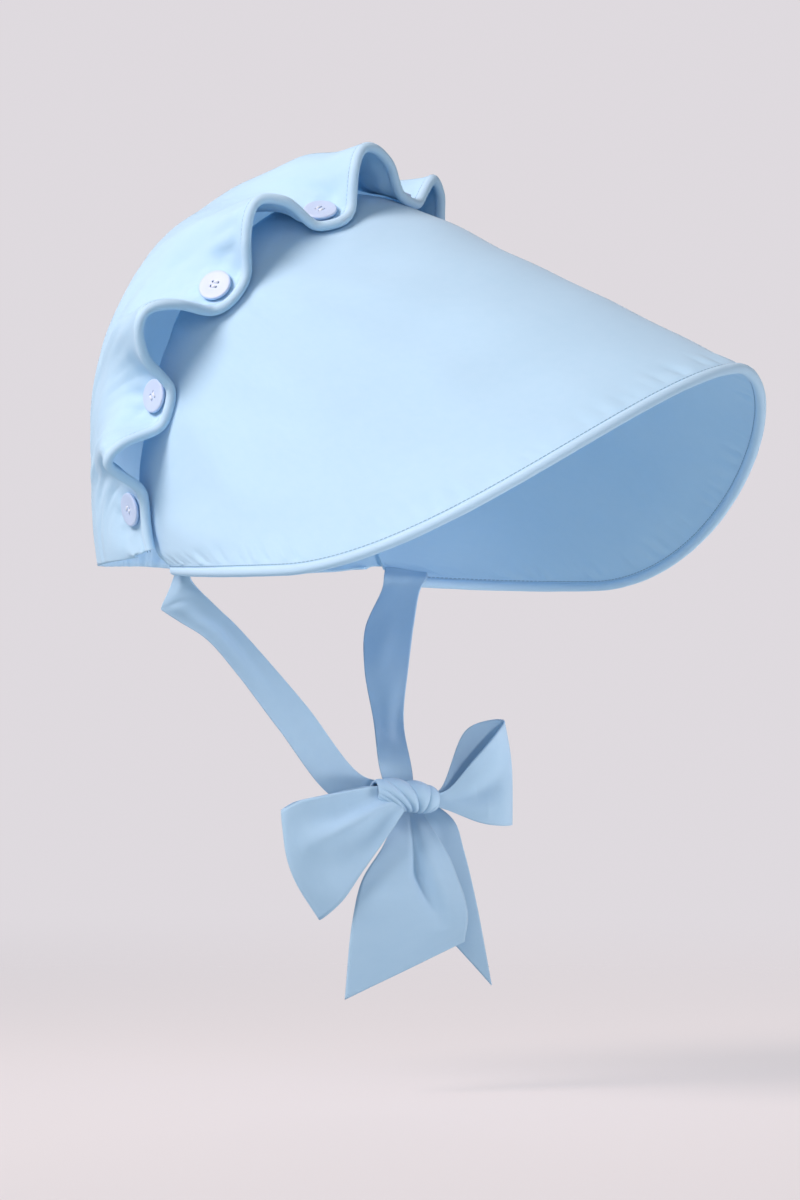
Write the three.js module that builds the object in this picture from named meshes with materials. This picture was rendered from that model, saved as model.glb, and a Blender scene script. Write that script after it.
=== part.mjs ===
// A cloth sun bonnet: a deep ruled brim, a ruffled crown buttoned over its back edge,
// piped edges, and two ties knotted in a bow under the chin.
// Millimetres, +Z up. The brim opens toward -Y and the wearer's right side is -X.
// The shapes are worked out from the level of the brim's lower back corners, and the
// group is then lowered so that the origin is where the top of the head meets the crown.
import * as THREE from 'three';

// Cloth walls, trim and clearances
const BRIM_WALL = 2.4;
const CROWN_WALL = 1.4;
const TIE_WALL = 1.1;
const KNOT_WALL = 1.5;
const PIPING_RADIUS = 2.6;
const PIPING_GAP = 0.75;
const SEWN_GAP = 0.35;

// Back edge of the brim: an arch over the head with two short legs
const CORNER_HALF_WIDTH = 95;
const CORNER_HEIGHT = 2.5;
const ARCH_HALF_WIDTH = 106;
const ARCH_RISE = 91;
const ARCH_LEG_HEIGHT = 100;
const ARCH_TOP_SHARE = 0.6;
const ARCH_TOP_Y = -46;
const ARCH_SWEEP = 74;
const ARCH_CORNER_START = 0.78;
const ARCH_TOP_ROUND = 0.04;
const ARCH_LEG_EASE = 1.6;
const ARCH_CORNER_EASE = 2.2;

// Front edge of the brim: a blunt point in front, level sides, drawn in to the corners
const EDGE_HALF_WIDTH = 137.5;
const EDGE_WIDEST_Y = -105;
const EDGE_REACH = 167.5;
const EDGE_APEX_HEIGHT = 95.5;
const EDGE_SIDE_HEIGHT = -1;
const EDGE_FRONT_SHARE = 0.695;
const EDGE_BLUNTNESS = 1.72;
const EDGE_DROP = 1.8;
const EDGE_REAR_EASE = 1.8;
const BRIM_BOW = 7;
const BRIM_BOW_SHARE = 0.5;
const BRIM_BOW_EASE = 0.55;
const BRIM_LAST_RIB = 0.985;

// Straight ribs of the brim: share of the back edge that each share of the front edge meets
const RIBS = [
  { back: 0, front: 0 },
  { back: 0.12, front: 0.07 },
  { back: 0.24, front: 0.155 },
  { back: 0.36, front: 0.31 },
  { back: 0.42, front: 0.46 },
  { back: 0.48, front: 0.63 },
  { back: 0.54, front: 0.722 },
  { back: 0.6, front: 0.78 },
  { back: 0.76, front: 0.826 },
  { back: 0.88, front: 0.882 },
  { back: 1, front: 1 },
];

// Crown: a dome behind the brim's arch, open below at a plain hem
const DOME_HALF_WIDTH = 114.5;
const DOME_DEPTH = 85;
const DOME_RISE = 128.5;
const DOME_FALL = 170;
const DOME_WIDEST_HEIGHT = 70;
const DOME_SQUARENESS = 2;
const HEM_HALF_WIDTH = 100;
const HEM_DEPTH = 89;
const HEM_BACK_HEIGHT = 6;
const HEM_SIDE_DIP = 5.3;
const HEM_CORNER_RISE = 8.8;
const CROWN_LIFT = 4.6;
const CROWN_SETBACK = 95;
const CROWN_LAST_RIB = 0.945;
const SEAT_HEIGHT = DOME_WIDEST_HEIGHT + DOME_RISE - CROWN_WALL / 2;

// How the crown's cloth runs from its front edge over the dome to the hem
const HEM_SPREAD = 0.35;
const FRONT_BLEND = 0.2;
const HEM_BLEND_START = 0.6;
const SHORTEST_RIB = 12;
const LEAST_REACH = -0.5;
const MOST_REACH = 0.9;

// How far the crown's front edge laps over the brim, by share of the arch
const LAPS = [
  { at: 0, lap: 26 },
  { at: 0.45, lap: 25 },
  { at: 0.7, lap: 17 },
  { at: 0.9, lap: 7 },
  { at: 1, lap: 3 },
];

// Ruffle of the crown's front edge, from the wearer's right round to the left.
// A row with no rise is a trough, where the cloth lies on the brim.
const RUFFLE = [
  { at: -0.945, rise: 0, ahead: 0, run: 60 },
  { at: -0.868, rise: 0, ahead: 0, run: 60 },
  { at: -0.765, rise: 27, ahead: -3, run: 62 },
  { at: -0.615, rise: 0, ahead: 0, run: 75 },
  { at: -0.505, rise: 32, ahead: -15, run: 85 },
  { at: -0.4, rise: 0, ahead: 0, run: 90 },
  { at: -0.295, rise: 25, ahead: -9, run: 95 },
  { at: -0.19, rise: 0, ahead: 12, run: 110 },
  { at: -0.085, rise: 27, ahead: -3, run: 130 },
  { at: 0.025, rise: 0, ahead: 4, run: 120 },
  { at: 0.105, rise: 18, ahead: -2, run: 110 },
  { at: 0.205, rise: 0, ahead: 6, run: 110 },
  { at: 0.3, rise: 15, ahead: -12, run: 95 },
  { at: 0.4, rise: 0, ahead: 0, run: 90 },
  { at: 0.495, rise: 28, ahead: -12, run: 85 },
  { at: 0.615, rise: 0, ahead: 0, run: 75 },
  { at: 0.765, rise: 27, ahead: -3, run: 62 },
  { at: 0.868, rise: 0, ahead: 0, run: 60 },
  { at: 0.945, rise: 0, ahead: 0, run: 60 },
];
const RUFFLE_CLIMB = 0.3;
const RUFFLE_TURN = 0.5;
const RUFFLE_FADE_EASE = 1.25;
const ARC_PER_CHORD = 1.15;

// Buttons, one in each trough, that fasten the crown to the brim
const BUTTON_RADIUS = 8.5;
const BUTTON_THICKNESS = 2.2;
const BUTTON_STANDOFF = 0.9;
const BUTTON_SETBACK = 9;
const BUTTON_CLIMB = 1.02;
const BUTTON_FLAT_RADIUS = 14;
const BUTTON_FADE_RADIUS = 20;
const BUTTON_HOLE_RADIUS = 0.75;
const BUTTON_HOLE_SPACING = 1.35;
const BUTTON_TROUGHS = RUFFLE.filter((row) => row.rise === 0).slice(1, -1);

// Bow: the knot's middle, and the side that the bow faces
const KNOT_CENTER = new THREE.Vector3(-3, -80, -113.5);
const BOW_FACING = THREE.MathUtils.degToRad(-35);
const KNOT_HALF_LENGTH = 16;
const KNOT_HALF_DEPTH = 10.5;
const KNOT_HALF_HEIGHT = 8;
const KNOT_TAPER = 0.1;
const RIGHT_LOOP_BELLY = -6;
const LEFT_LOOP_BELLY = 2;
const KNOT_TILT = THREE.MathUtils.degToRad(-7);

// Loops of the bow, from the knot out along the front and back behind.
// Columns are the upper and lower edge, each as side, front and up from the knot.
const RIGHT_LOOP = [
  { upper: [-11, 2.6, 4.5], lower: [-11, 2.6, -2.5] },
  { upper: [-21, 4, 4.5], lower: [-21, 4, -3.5] },
  { upper: [-41, 9, 1], lower: [-25, 9, -37] },
  { upper: [-58, 9, -2], lower: [-37, 9, -53] },
  { upper: [-66, 2, -7], lower: [-46, 2, -62] },
  { upper: [-57, -5, -3], lower: [-36, -5, -50] },
  { upper: [-38, -5, 1], lower: [-22, -5, -30] },
  { upper: [-21, -4, 4.5], lower: [-21, -4, -3.5] },
  { upper: [-11, -2.6, 4.5], lower: [-11, -2.6, -2.5] },
];
const LEFT_LOOP = [
  { upper: [11, 2.6, 1.5], lower: [11, 2.6, -5] },
  { upper: [20, 4, 2], lower: [20, 4, -7] },
  { upper: [34, 9, 18], lower: [38, 9, -14] },
  { upper: [47, 8, 32], lower: [50, 8, -15.5] },
  { upper: [53, 2, 38], lower: [57, 2, -15] },
  { upper: [47, -5, 38], lower: [50, -5, -13] },
  { upper: [36, -7, 33], lower: [36, -7, -8] },
  { upper: [20, -4, 2.5], lower: [20, -4, -6] },
  { upper: [11, -2.6, 1.5], lower: [11, -2.6, -5] },
];

// Ties: a strap sewn inside the brim's lower corner, then behind the knot and down as a tail.
// The sewn end lies along the brim, by shares of the arch and of the way to the front edge.
// Strap rows are places; tail rows are side, front and up from the knot.
const SEWN_END = { upper: { share: 0.945, reach: 0.9 }, lower: { share: 0.985, reach: 0.1 } };
const RIGHT_STRAP = [
  { upper: [-101.5, -21.5, 0.5], lower: [-89.5, -2, 1.5] },
  { upper: [-96, -19, -5], lower: [-90, 0.5, -5] },
  { upper: [-80, -12, -13], lower: [-95, 2, -18] },
  { upper: [-70.6, -20.4, -25], lower: [-79.7, -12.4, -35] },
  { upper: [-57, -30, -42], lower: [-66, -22, -53] },
  { upper: [-38, -44, -68], lower: [-48, -34, -80] },
];
const RIGHT_TAIL = [
  { upper: [-20, -12, 11], lower: [-34, -12, -1] },
  { upper: [-4, -14, 6], lower: [-9, -14, -7] },
  { upper: [16, -14, -2], lower: [9, -14, -13] },
  { upper: [31, -12, -13], lower: [14, -13, -20] },
  { upper: [36, -11, -28], lower: [11, -12, -31] },
  { upper: [42, -9, -54], lower: [8, -10, -42] },
  { upper: [50, -8, -97], lower: [6, -9, -50] },
];
const LEFT_STRAP = [
  { upper: [101.5, -21.5, 0.5], lower: [89.5, -2, 1.5] },
  { upper: [97, -20.5, -5], lower: [88, -2, -5] },
  { upper: [83, -26, -24], lower: [70, -4, -26] },
  { upper: [62, -37, -48], lower: [49, -18, -48] },
  { upper: [39, -50, -74], lower: [30, -37, -74] },
];
const LEFT_TAIL = [
  { upper: [8, -11.6, 13], lower: [-9, -11.8, 14] },
  { upper: [10, -11.8, 0], lower: [-5, -11.8, 0] },
  { upper: [14, -11, -10], lower: [-2, -11, -11] },
  { upper: [18.5, -1, -21.5], lower: [-11, -1, -25] },
  { upper: [25.5, 4, -38], lower: [-24, 4, -42] },
  { upper: [31.5, 6, -60], lower: [-30, 6, -62] },
  { upper: [30, 6, -74], lower: [-34, 6, -102] },
];

// Cloth, piping and button colours
const CLOTH_COLOR = 0xbfe0f7;
const PIPING_COLOR = 0xcbe7fa;
const TIE_COLOR = 0x9cc4e6;
const BUTTON_COLOR = 0xe9e6f2;
const CLOTH_ROUGHNESS = 0.85;
const BUTTON_ROUGHNESS = 0.35;

// Steps for directions on the brim, and mesh densities
const NORMAL_STEP = 1e-3;
const REACH_STEP = 0.02;
const PIPING_STEP = 4e-3;
const PIPING_REACH = 0.9;
const BRIM_COLUMNS = 36;
const BRIM_ROWS = 6;
const CROWN_STEPS_PER_ROW = 5;
const CROWN_ROWS = 11;
const CROWN_ROW_EASE = 1.6;
const BRIM_PIPING_SIDES = 8;
const CROWN_PIPING_SIDES = 6;
const BRIM_PIPING_STEPS = 56;
const CROWN_PIPING_STEPS = 136;
const STRIP_STEPS_PER_ROW = 3;
const STRIP_COLUMNS = 3;
const KNOT_COLUMNS = 18;
const KNOT_ROWS = 5;
const BUTTON_SIDES = 16;
const BUTTON_HOLE_SIDES = 5;

// Monotone cubic reading of one column of a table at a key
function readTable(table, key, column, at) {
  const last = table.length - 2;
  const found = table.findIndex((row) => row[key] > at) - 1;
  const i = found < 0 ? (at < table[0][key] ? 0 : last) : found;
  const width = (j) => table[j + 1][key] - table[j][key];
  const slope = (j) => (table[j + 1][column] - table[j][column]) / width(j);
  const bend = (j) => {
    if (j === 0) return slope(0);
    if (j === last + 1) return slope(last);
    const product = slope(j - 1) * slope(j);
    return product <= 0 ? 0 : (2 * product) / (slope(j - 1) + slope(j));
  };
  const k = THREE.MathUtils.clamp((at - table[i][key]) / width(i), 0, 1);
  const rise = table[i + 1][column] - table[i][column];
  const eased = k * k * (3 - 2 * k);
  const start = k * (1 - k) * (1 - k) * width(i) * bend(i);
  const end = k * k * (k - 1) * width(i) * bend(i + 1);
  return table[i][column] + rise * eased + start + end;
}

// Cosine reading of one column of the ruffle, so that crests and troughs are round
function readRuffle(column, at) {
  const found = RUFFLE.findIndex((row) => row.at > at) - 1;
  const i = found < 0 ? (at < RUFFLE[0].at ? 0 : RUFFLE.length - 2) : found;
  const k = THREE.MathUtils.clamp((at - RUFFLE[i].at) / (RUFFLE[i + 1].at - RUFFLE[i].at), 0, 1);
  return THREE.MathUtils.lerp(RUFFLE[i][column], RUFFLE[i + 1][column], (1 - Math.cos(Math.PI * k)) / 2);
}

// A point of the brim's back edge; share runs from -1 over the top to 1
function archPoint(share) {
  const t = Math.abs(share);
  const angle = (Math.PI / 2) * Math.min(t / ARCH_TOP_SHARE, 1);
  const leg = Math.max((t - ARCH_TOP_SHARE) / (1 - ARCH_TOP_SHARE), 0);
  const corner = Math.max((t - ARCH_CORNER_START) / (1 - ARCH_CORNER_START), 0);
  const x = leg > 0
    ? ARCH_HALF_WIDTH - (ARCH_HALF_WIDTH - CORNER_HALF_WIDTH) * leg ** ARCH_LEG_EASE
    : ARCH_HALF_WIDTH * Math.sin(angle);
  const z = leg > 0
    ? THREE.MathUtils.lerp(ARCH_LEG_HEIGHT, CORNER_HEIGHT, leg)
    : ARCH_LEG_HEIGHT + ARCH_RISE * Math.cos(angle);
  const swept = ARCH_TOP_Y + ARCH_SWEEP * (Math.hypot(t, ARCH_TOP_ROUND) - ARCH_TOP_ROUND);
  const drawnIn = (ARCH_TOP_Y + ARCH_SWEEP * (1 - ARCH_TOP_ROUND)) * corner ** ARCH_CORNER_EASE;
  return new THREE.Vector3(share < 0 ? -x : x, swept - drawnIn, z);
}

// A point of the brim's front edge; share runs from -1 over the front point to 1
function edgePoint(share) {
  const s = Math.abs(share);
  const angle = (Math.PI / 2) * Math.min(s / EDGE_FRONT_SHARE, 1);
  const rear = Math.max((s - EDGE_FRONT_SHARE) / (1 - EDGE_FRONT_SHARE), 0);
  const power = 2 / EDGE_BLUNTNESS;
  const forward = rear > 0 ? 0 : Math.max(Math.cos(angle), 0) ** power;
  const x = rear > 0
    ? EDGE_HALF_WIDTH - (EDGE_HALF_WIDTH - CORNER_HALF_WIDTH) * rear ** EDGE_REAR_EASE
    : EDGE_HALF_WIDTH * Math.sin(angle) ** power;
  const y = rear > 0 ? EDGE_WIDEST_Y * (1 - rear) : EDGE_WIDEST_Y - EDGE_REACH * forward;
  const z = rear > 0
    ? THREE.MathUtils.lerp(EDGE_SIDE_HEIGHT, CORNER_HEIGHT, rear ** 2)
    : THREE.MathUtils.lerp(EDGE_SIDE_HEIGHT, EDGE_APEX_HEIGHT, forward ** EDGE_DROP);
  return new THREE.Vector3(share < 0 ? -x : x, y, z);
}

// The two ends of the brim's rib at a share of the arch
function ribEnds(share) {
  const front = readTable(RIBS, 'back', 'front', Math.abs(share));
  return [archPoint(share), edgePoint(share < 0 ? -front : front)];
}

// A point of the brim: share of the arch, and share of the way to the front edge
function brimPoint(share, reach) {
  const [back, front] = ribEnds(share);
  const point = back.lerp(front, reach);
  const middle = Math.max(1 - (share / BRIM_BOW_SHARE) ** 2, 0);
  point.z += BRIM_BOW * middle * Math.sin(Math.PI * THREE.MathUtils.clamp(reach, 0, 1) ** BRIM_BOW_EASE);
  return point;
}

// The brim's outward direction, square to its surface
function brimNormal(share, reach) {
  const along = brimPoint(share + NORMAL_STEP, reach).sub(brimPoint(share - NORMAL_STEP, reach));
  const forward = brimPoint(share, reach + REACH_STEP).sub(brimPoint(share, reach - REACH_STEP));
  return along.cross(forward).normalize().negate();
}

// A closed wall around a grid of points, given as rows of columns
function wallGeometry(grid, thickness, ring = false) {
  const rows = grid.length;
  const columns = grid[0].length;
  const at = (r, c) => grid[r][ring ? (c + columns) % columns : THREE.MathUtils.clamp(c, 0, columns - 1)];
  const step = (a, b) => new THREE.Vector3().subVectors(a, b);
  const positions = [];
  for (const side of [0.5, -0.5]) {
    for (let r = 0; r < rows; r += 1) {
      for (let c = 0; c < columns; c += 1) {
        const across = step(at(r, c + 1), at(r, c - 1));
        const down = step(grid[Math.min(r + 1, rows - 1)][c], grid[Math.max(r - 1, 0)][c]);
        const normal = across.cross(down).normalize();
        const point = grid[r][c].clone().addScaledVector(normal, side * thickness);
        positions.push(point.x, point.y, point.z);
      }
    }
  }
  const layer = rows * columns;
  const index = [];
  const quad = (a, b, c, d) => index.push(a, b, c, a, c, d);
  const lastColumn = ring ? columns : columns - 1;
  for (let r = 0; r < rows - 1; r += 1) {
    for (let c = 0; c < lastColumn; c += 1) {
      const next = (c + 1) % columns;
      const [a, b] = [r * columns + c, r * columns + next];
      const [d, e] = [a + columns, b + columns];
      quad(a, b, e, d);
      quad(layer + a, layer + d, layer + e, layer + b);
    }
  }
  for (let c = 0; c < lastColumn; c += 1) {
    const next = (c + 1) % columns;
    const low = (rows - 1) * columns;
    quad(c, layer + c, layer + next, next);
    quad(low + c, low + next, layer + low + next, layer + low + c);
  }
  for (let r = 0; r < rows - 1 && !ring; r += 1) {
    const [a, d] = [r * columns, (r + 1) * columns];
    const [b, e] = [a + columns - 1, d + columns - 1];
    quad(a, d, layer + d, layer + a);
    quad(b, layer + b, layer + e, e);
  }
  const geometry = new THREE.BufferGeometry();
  geometry.setAttribute('position', new THREE.Float32BufferAttribute(positions, 3));
  geometry.setIndex(signedVolume(positions, index) < 0 ? index.reverse() : index);
  geometry.computeVertexNormals();
  return geometry;
}

// Volume enclosed by a triangle list, below zero where its faces point in
function signedVolume(positions, index) {
  const corner = (i) => new THREE.Vector3().fromArray(positions, index[i] * 3);
  let volume = 0;
  for (let i = 0; i < index.length; i += 3) {
    volume += corner(i).dot(corner(i + 1).cross(corner(i + 2))) / 6;
  }
  return volume;
}

// A round piping along a smooth curve through points
function pipingGeometry(points, steps, sides) {
  const section = new THREE.Shape();
  section.absarc(0, 0, PIPING_RADIUS, 0, Math.PI * 2);
  return new THREE.ExtrudeGeometry(section, {
    steps,
    curveSegments: sides / 2,
    bevelEnabled: false,
    extrudePath: new THREE.CatmullRomCurve3(points),
  });
}

function evenly(from, to, count) {
  return Array.from({ length: count + 1 }, (_, i) => THREE.MathUtils.lerp(from, to, i / count));
}

const part = new THREE.Group();
const bonnet = new THREE.Group();
bonnet.position.z = -SEAT_HEIGHT;
part.add(bonnet);

function addPiece(name, geometry, color, roughness) {
  const material = new THREE.MeshStandardMaterial({ color, roughness, metalness: 0 });
  const mesh = new THREE.Mesh(geometry, material);
  mesh.name = name;
  bonnet.add(mesh);
  return mesh;
}

// Brim
const lastFront = readTable(RIBS, 'back', 'front', BRIM_LAST_RIB);
const brimShares = evenly(-lastFront, lastFront, BRIM_COLUMNS).map((front) => (
  Math.sign(front) * readTable(RIBS, 'front', 'back', Math.abs(front))
));
const brimGrid = evenly(0, 1, BRIM_ROWS).map((reach) => brimShares.map((share) => brimPoint(share, reach)));
addPiece('brim', wallGeometry(brimGrid, BRIM_WALL), CLOTH_COLOR, CLOTH_ROUGHNESS);

// The piping's line lies beyond the brim's edge, square to it and in line with the cloth
function brimPipingPoint(share) {
  const here = brimPoint(share, 1);
  const tangent = brimPoint(share + PIPING_STEP, 1).sub(brimPoint(share - PIPING_STEP, 1)).normalize();
  const outward = here.clone().sub(brimPoint(share, PIPING_REACH));
  outward.addScaledVector(tangent, -outward.dot(tangent)).normalize();
  return here.addScaledVector(outward, PIPING_RADIUS + PIPING_GAP);
}
const brimPipingLine = evenly(-BRIM_LAST_RIB, BRIM_LAST_RIB, 2 * BRIM_COLUMNS).map(brimPipingPoint);
const brimPiping = pipingGeometry(brimPipingLine, BRIM_PIPING_STEPS, BRIM_PIPING_SIDES);
addPiece('brim_piping', brimPiping, PIPING_COLOR, CLOTH_ROUGHNESS);

// Crown
const DOME_CENTER = new THREE.Vector3(0, 0, DOME_WIDEST_HEIGHT);

function domePoint(direction) {
  const height = direction.z > 0 ? DOME_RISE : DOME_FALL;
  const n = DOME_SQUARENESS;
  const sum = Math.abs(direction.x / DOME_HALF_WIDTH) ** n
    + Math.max(direction.y / DOME_DEPTH, 0) ** n
    + Math.abs(direction.z / height) ** n;
  return DOME_CENTER.clone().addScaledVector(direction, sum ** (-1 / n));
}

// Where the crown's front edge lies when it is pressed on the brim, and the way out from there
function lapPoint(share, ahead) {
  const [back, front] = ribEnds(share);
  const lap = readTable(LAPS, 'at', 'lap', Math.abs(share)) + ahead;
  const rib = Math.max(back.distanceTo(front), SHORTEST_RIB);
  const reach = THREE.MathUtils.clamp(lap / rib, LEAST_REACH, MOST_REACH);
  const out = brimNormal(share, reach);
  return { point: brimPoint(share, reach).addScaledVector(out, CROWN_LIFT), out };
}

function hemPoint(share) {
  const angle = (Math.PI / 2) * (HEM_SPREAD * share + (1 - HEM_SPREAD) * share ** 3);
  const z = HEM_BACK_HEIGHT - HEM_SIDE_DIP * share ** 2 + HEM_CORNER_RISE * share ** 8;
  return new THREE.Vector3(HEM_HALF_WIDTH * Math.sin(angle), HEM_DEPTH * Math.cos(angle), z);
}

function directionTo(point) {
  return point.clone().sub(DOME_CENTER).normalize();
}

// A point of the crown with no buttons: share of the arch, and share of the way back to the hem
function ruffledPoint(share, back) {
  const { point: front, out } = lapPoint(share, readRuffle('ahead', share));
  const hem = hemPoint(share);
  const middle = front.clone();
  middle.y += CROWN_SETBACK * (1 - Math.abs(share) ** 3);
  const [toFront, toMiddle, toHem] = [front, middle, hem].map(directionTo);
  const first = toFront.clone().lerp(toMiddle, back);
  const second = toMiddle.clone().lerp(toHem, back);
  const direction = first.lerp(second, back).normalize();
  const point = domePoint(direction);
  const nearFront = 1 - THREE.MathUtils.smoothstep(back, 0, FRONT_BLEND);
  const nearHem = Math.max((back - HEM_BLEND_START) / (1 - HEM_BLEND_START), 0) ** 2;
  point.addScaledVector(front.clone().sub(domePoint(toFront)), nearFront);
  point.addScaledVector(hem.clone().sub(domePoint(toHem)), nearHem);

  const climbed = share * (1 + RUFFLE_CLIMB * back);
  const fade = Math.min(readRuffle('run', climbed) / (ARC_PER_CHORD * front.distanceTo(hem) + 1), 1);
  const rise = readRuffle('rise', climbed) * Math.max(1 - back / fade, 0) ** RUFFLE_FADE_EASE;
  const turn = THREE.MathUtils.smoothstep(back, 0, RUFFLE_TURN);
  return point.addScaledVector(out.clone().lerp(direction, turn).normalize(), rise);
}

// Each button's seat: a flat spot of the crown just behind a trough of the ruffle
const seats = BUTTON_TROUGHS.map((row) => {
  const { point, out } = lapPoint(row.at * BUTTON_CLIMB, row.ahead - BUTTON_SETBACK);
  return { center: point, out };
});

function crownPoint(share, back) {
  const point = ruffledPoint(share, back);
  for (const { center, out } of seats) {
    const away = point.clone().sub(center);
    const height = away.dot(out);
    const aside = away.addScaledVector(out, -height).length();
    const flat = 1 - THREE.MathUtils.smoothstep(aside, BUTTON_FLAT_RADIUS, BUTTON_FADE_RADIUS);
    const low = 1 - THREE.MathUtils.smoothstep(Math.abs(height), BUTTON_FLAT_RADIUS, BUTTON_FADE_RADIUS);
    point.addScaledVector(out, -flat * low * height);
  }
  return point;
}

const crownShares = RUFFLE.slice(1).flatMap((row, i) => {
  const shares = evenly(RUFFLE[i].at, row.at, CROWN_STEPS_PER_ROW);
  return i === 0 ? shares : shares.slice(1);
});
const crownBacks = evenly(0, 1, CROWN_ROWS).map((k) => k ** CROWN_ROW_EASE);
const crownGrid = crownBacks.map((back) => crownShares.map((share) => crownPoint(share, back)));
addPiece('crown', wallGeometry(crownGrid, CROWN_WALL), CLOTH_COLOR, CLOTH_ROUGHNESS);

function crownPipingPoint(share) {
  const here = crownPoint(share, 0);
  const tangent = crownPoint(share + PIPING_STEP, 0).sub(crownPoint(share - PIPING_STEP, 0)).normalize();
  const [ribBack, ribFront] = ribEnds(share);
  const outward = ribFront.sub(ribBack);
  outward.addScaledVector(tangent, -outward.dot(tangent)).normalize();
  return here.addScaledVector(outward, PIPING_RADIUS + PIPING_GAP);
}
const crownPipingShares = evenly(-CROWN_LAST_RIB, CROWN_LAST_RIB, 2 * crownShares.length);
const crownPipingLine = crownPipingShares.map(crownPipingPoint);
const crownPiping = pipingGeometry(crownPipingLine, CROWN_PIPING_STEPS, CROWN_PIPING_SIDES);
addPiece('crown_piping', crownPiping, PIPING_COLOR, CLOTH_ROUGHNESS);

// Buttons with four thread holes
function buttonGeometry() {
  const disc = new THREE.Shape();
  disc.absarc(0, 0, BUTTON_RADIUS, 0, Math.PI * 2);
  for (const [sx, sy] of [[1, 1], [-1, 1], [-1, -1], [1, -1]]) {
    const corners = evenly(0, -Math.PI * 2, BUTTON_HOLE_SIDES).slice(0, -1).map((angle) => new THREE.Vector2(
      sx * BUTTON_HOLE_SPACING + BUTTON_HOLE_RADIUS * Math.cos(angle),
      sy * BUTTON_HOLE_SPACING + BUTTON_HOLE_RADIUS * Math.sin(angle),
    ));
    disc.holes.push(new THREE.Path(corners));
  }
  return new THREE.ExtrudeGeometry(disc, {
    depth: BUTTON_THICKNESS,
    curveSegments: BUTTON_SIDES / 2,
    bevelEnabled: false,
  });
}
seats.forEach(({ center, out }, i) => {
  const button = addPiece(`button_${i + 1}`, buttonGeometry(), BUTTON_COLOR, BUTTON_ROUGHNESS);
  button.position.copy(center).addScaledVector(out, CROWN_WALL / 2 + BUTTON_STANDOFF);
  button.quaternion.setFromUnitVectors(new THREE.Vector3(0, 0, 1), out);
});

// Bow: places given as side, front and up from the knot
const bowSide = new THREE.Vector3(Math.cos(BOW_FACING), Math.sin(BOW_FACING), 0);
const bowFront = new THREE.Vector3(Math.sin(BOW_FACING), -Math.cos(BOW_FACING), 0);

function bowPoint([side, front, up]) {
  const point = KNOT_CENTER.clone().addScaledVector(bowSide, side).addScaledVector(bowFront, front);
  point.z += up;
  return point;
}

// A strip of cloth between two edges, each a smooth curve through its row places
function stripGeometry(rows, belly = new THREE.Vector3()) {
  const curves = ['upper', 'lower'].map((edge) => new THREE.CatmullRomCurve3(rows.map((row) => row[edge])));
  const count = STRIP_STEPS_PER_ROW * (rows.length - 1);
  const grid = evenly(0, 1, count).map((along) => {
    const [upper, lower] = curves.map((curve) => curve.getPoint(along));
    const bulge = Math.sin(Math.PI * along);
    return evenly(0, 1, STRIP_COLUMNS).map((across) => (
      upper.clone().lerp(lower, across).addScaledVector(belly, bulge * Math.sin(Math.PI * across))
    ));
  });
  return wallGeometry(grid, TIE_WALL);
}

const asPlaces = (rows) => rows.map(({ upper, lower }) => (
  { upper: new THREE.Vector3(...upper), lower: new THREE.Vector3(...lower) }
));
const asBowPlaces = (rows) => rows.map(({ upper, lower }) => (
  { upper: bowPoint(upper), lower: bowPoint(lower) }
));

// A place on the inside of the brim, one sewing gap from its wall
function sewnPlace({ share, reach }, hand) {
  const inward = -(BRIM_WALL + TIE_WALL) / 2 - SEWN_GAP;
  return brimPoint(hand * share, reach).addScaledVector(brimNormal(hand * share, reach), inward);
}
const sewnRow = (hand) => ({ upper: sewnPlace(SEWN_END.upper, hand), lower: sewnPlace(SEWN_END.lower, hand) });

const rightTie = [sewnRow(-1), ...asPlaces(RIGHT_STRAP), ...asBowPlaces(RIGHT_TAIL)];
const leftTie = [sewnRow(1), ...asPlaces(LEFT_STRAP), ...asBowPlaces(LEFT_TAIL)];
const rightBelly = bowSide.clone().multiplyScalar(RIGHT_LOOP_BELLY);
const leftBelly = bowSide.clone().multiplyScalar(LEFT_LOOP_BELLY);
addPiece('tie_right', stripGeometry(rightTie), TIE_COLOR, CLOTH_ROUGHNESS);
addPiece('tie_left', stripGeometry(leftTie), TIE_COLOR, CLOTH_ROUGHNESS);
addPiece('bow_loop_right', stripGeometry(asBowPlaces(RIGHT_LOOP), rightBelly), TIE_COLOR, CLOTH_ROUGHNESS);
addPiece('bow_loop_left', stripGeometry(asBowPlaces(LEFT_LOOP), leftBelly), TIE_COLOR, CLOTH_ROUGHNESS);

// Knot: a barrel of wrapped cloth, open at both ends, where the loops go in
const knotGrid = evenly(-1, 1, KNOT_ROWS).map((along) => (
  evenly(0, Math.PI * 2, KNOT_COLUMNS).slice(0, -1).map((angle) => {
    const girth = 1 - KNOT_TAPER * along ** 4;
    const side = KNOT_HALF_LENGTH * along;
    const front = (KNOT_HALF_DEPTH - KNOT_WALL / 2) * girth * Math.cos(angle);
    const up = (KNOT_HALF_HEIGHT - KNOT_WALL / 2) * girth * Math.sin(angle);
    return bowPoint([side, front, up + side * Math.tan(KNOT_TILT)]);
  })
));
addPiece('bow_knot', wallGeometry(knotGrid, KNOT_WALL, true), TIE_COLOR, CLOTH_ROUGHNESS);

export default part;
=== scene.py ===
# %% [markdown]
# # A cloth sun bonnet
# The bonnet is a stiff brim, a gathered crown that laps over the brim's back edge, piped edges,
# buttons and two ties knotted in a bow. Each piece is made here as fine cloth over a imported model,
# in the same frame, and then stands for the plain solid of the same place.
# Lengths are worked out in millimetres from the level of the brim's lower back corners, as a maker
# would measure them, and are turned to metres when a mesh is made.

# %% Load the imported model
import math
import bmesh
import bpy
import numpy as np
from mathutils import Matrix, Vector


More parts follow.
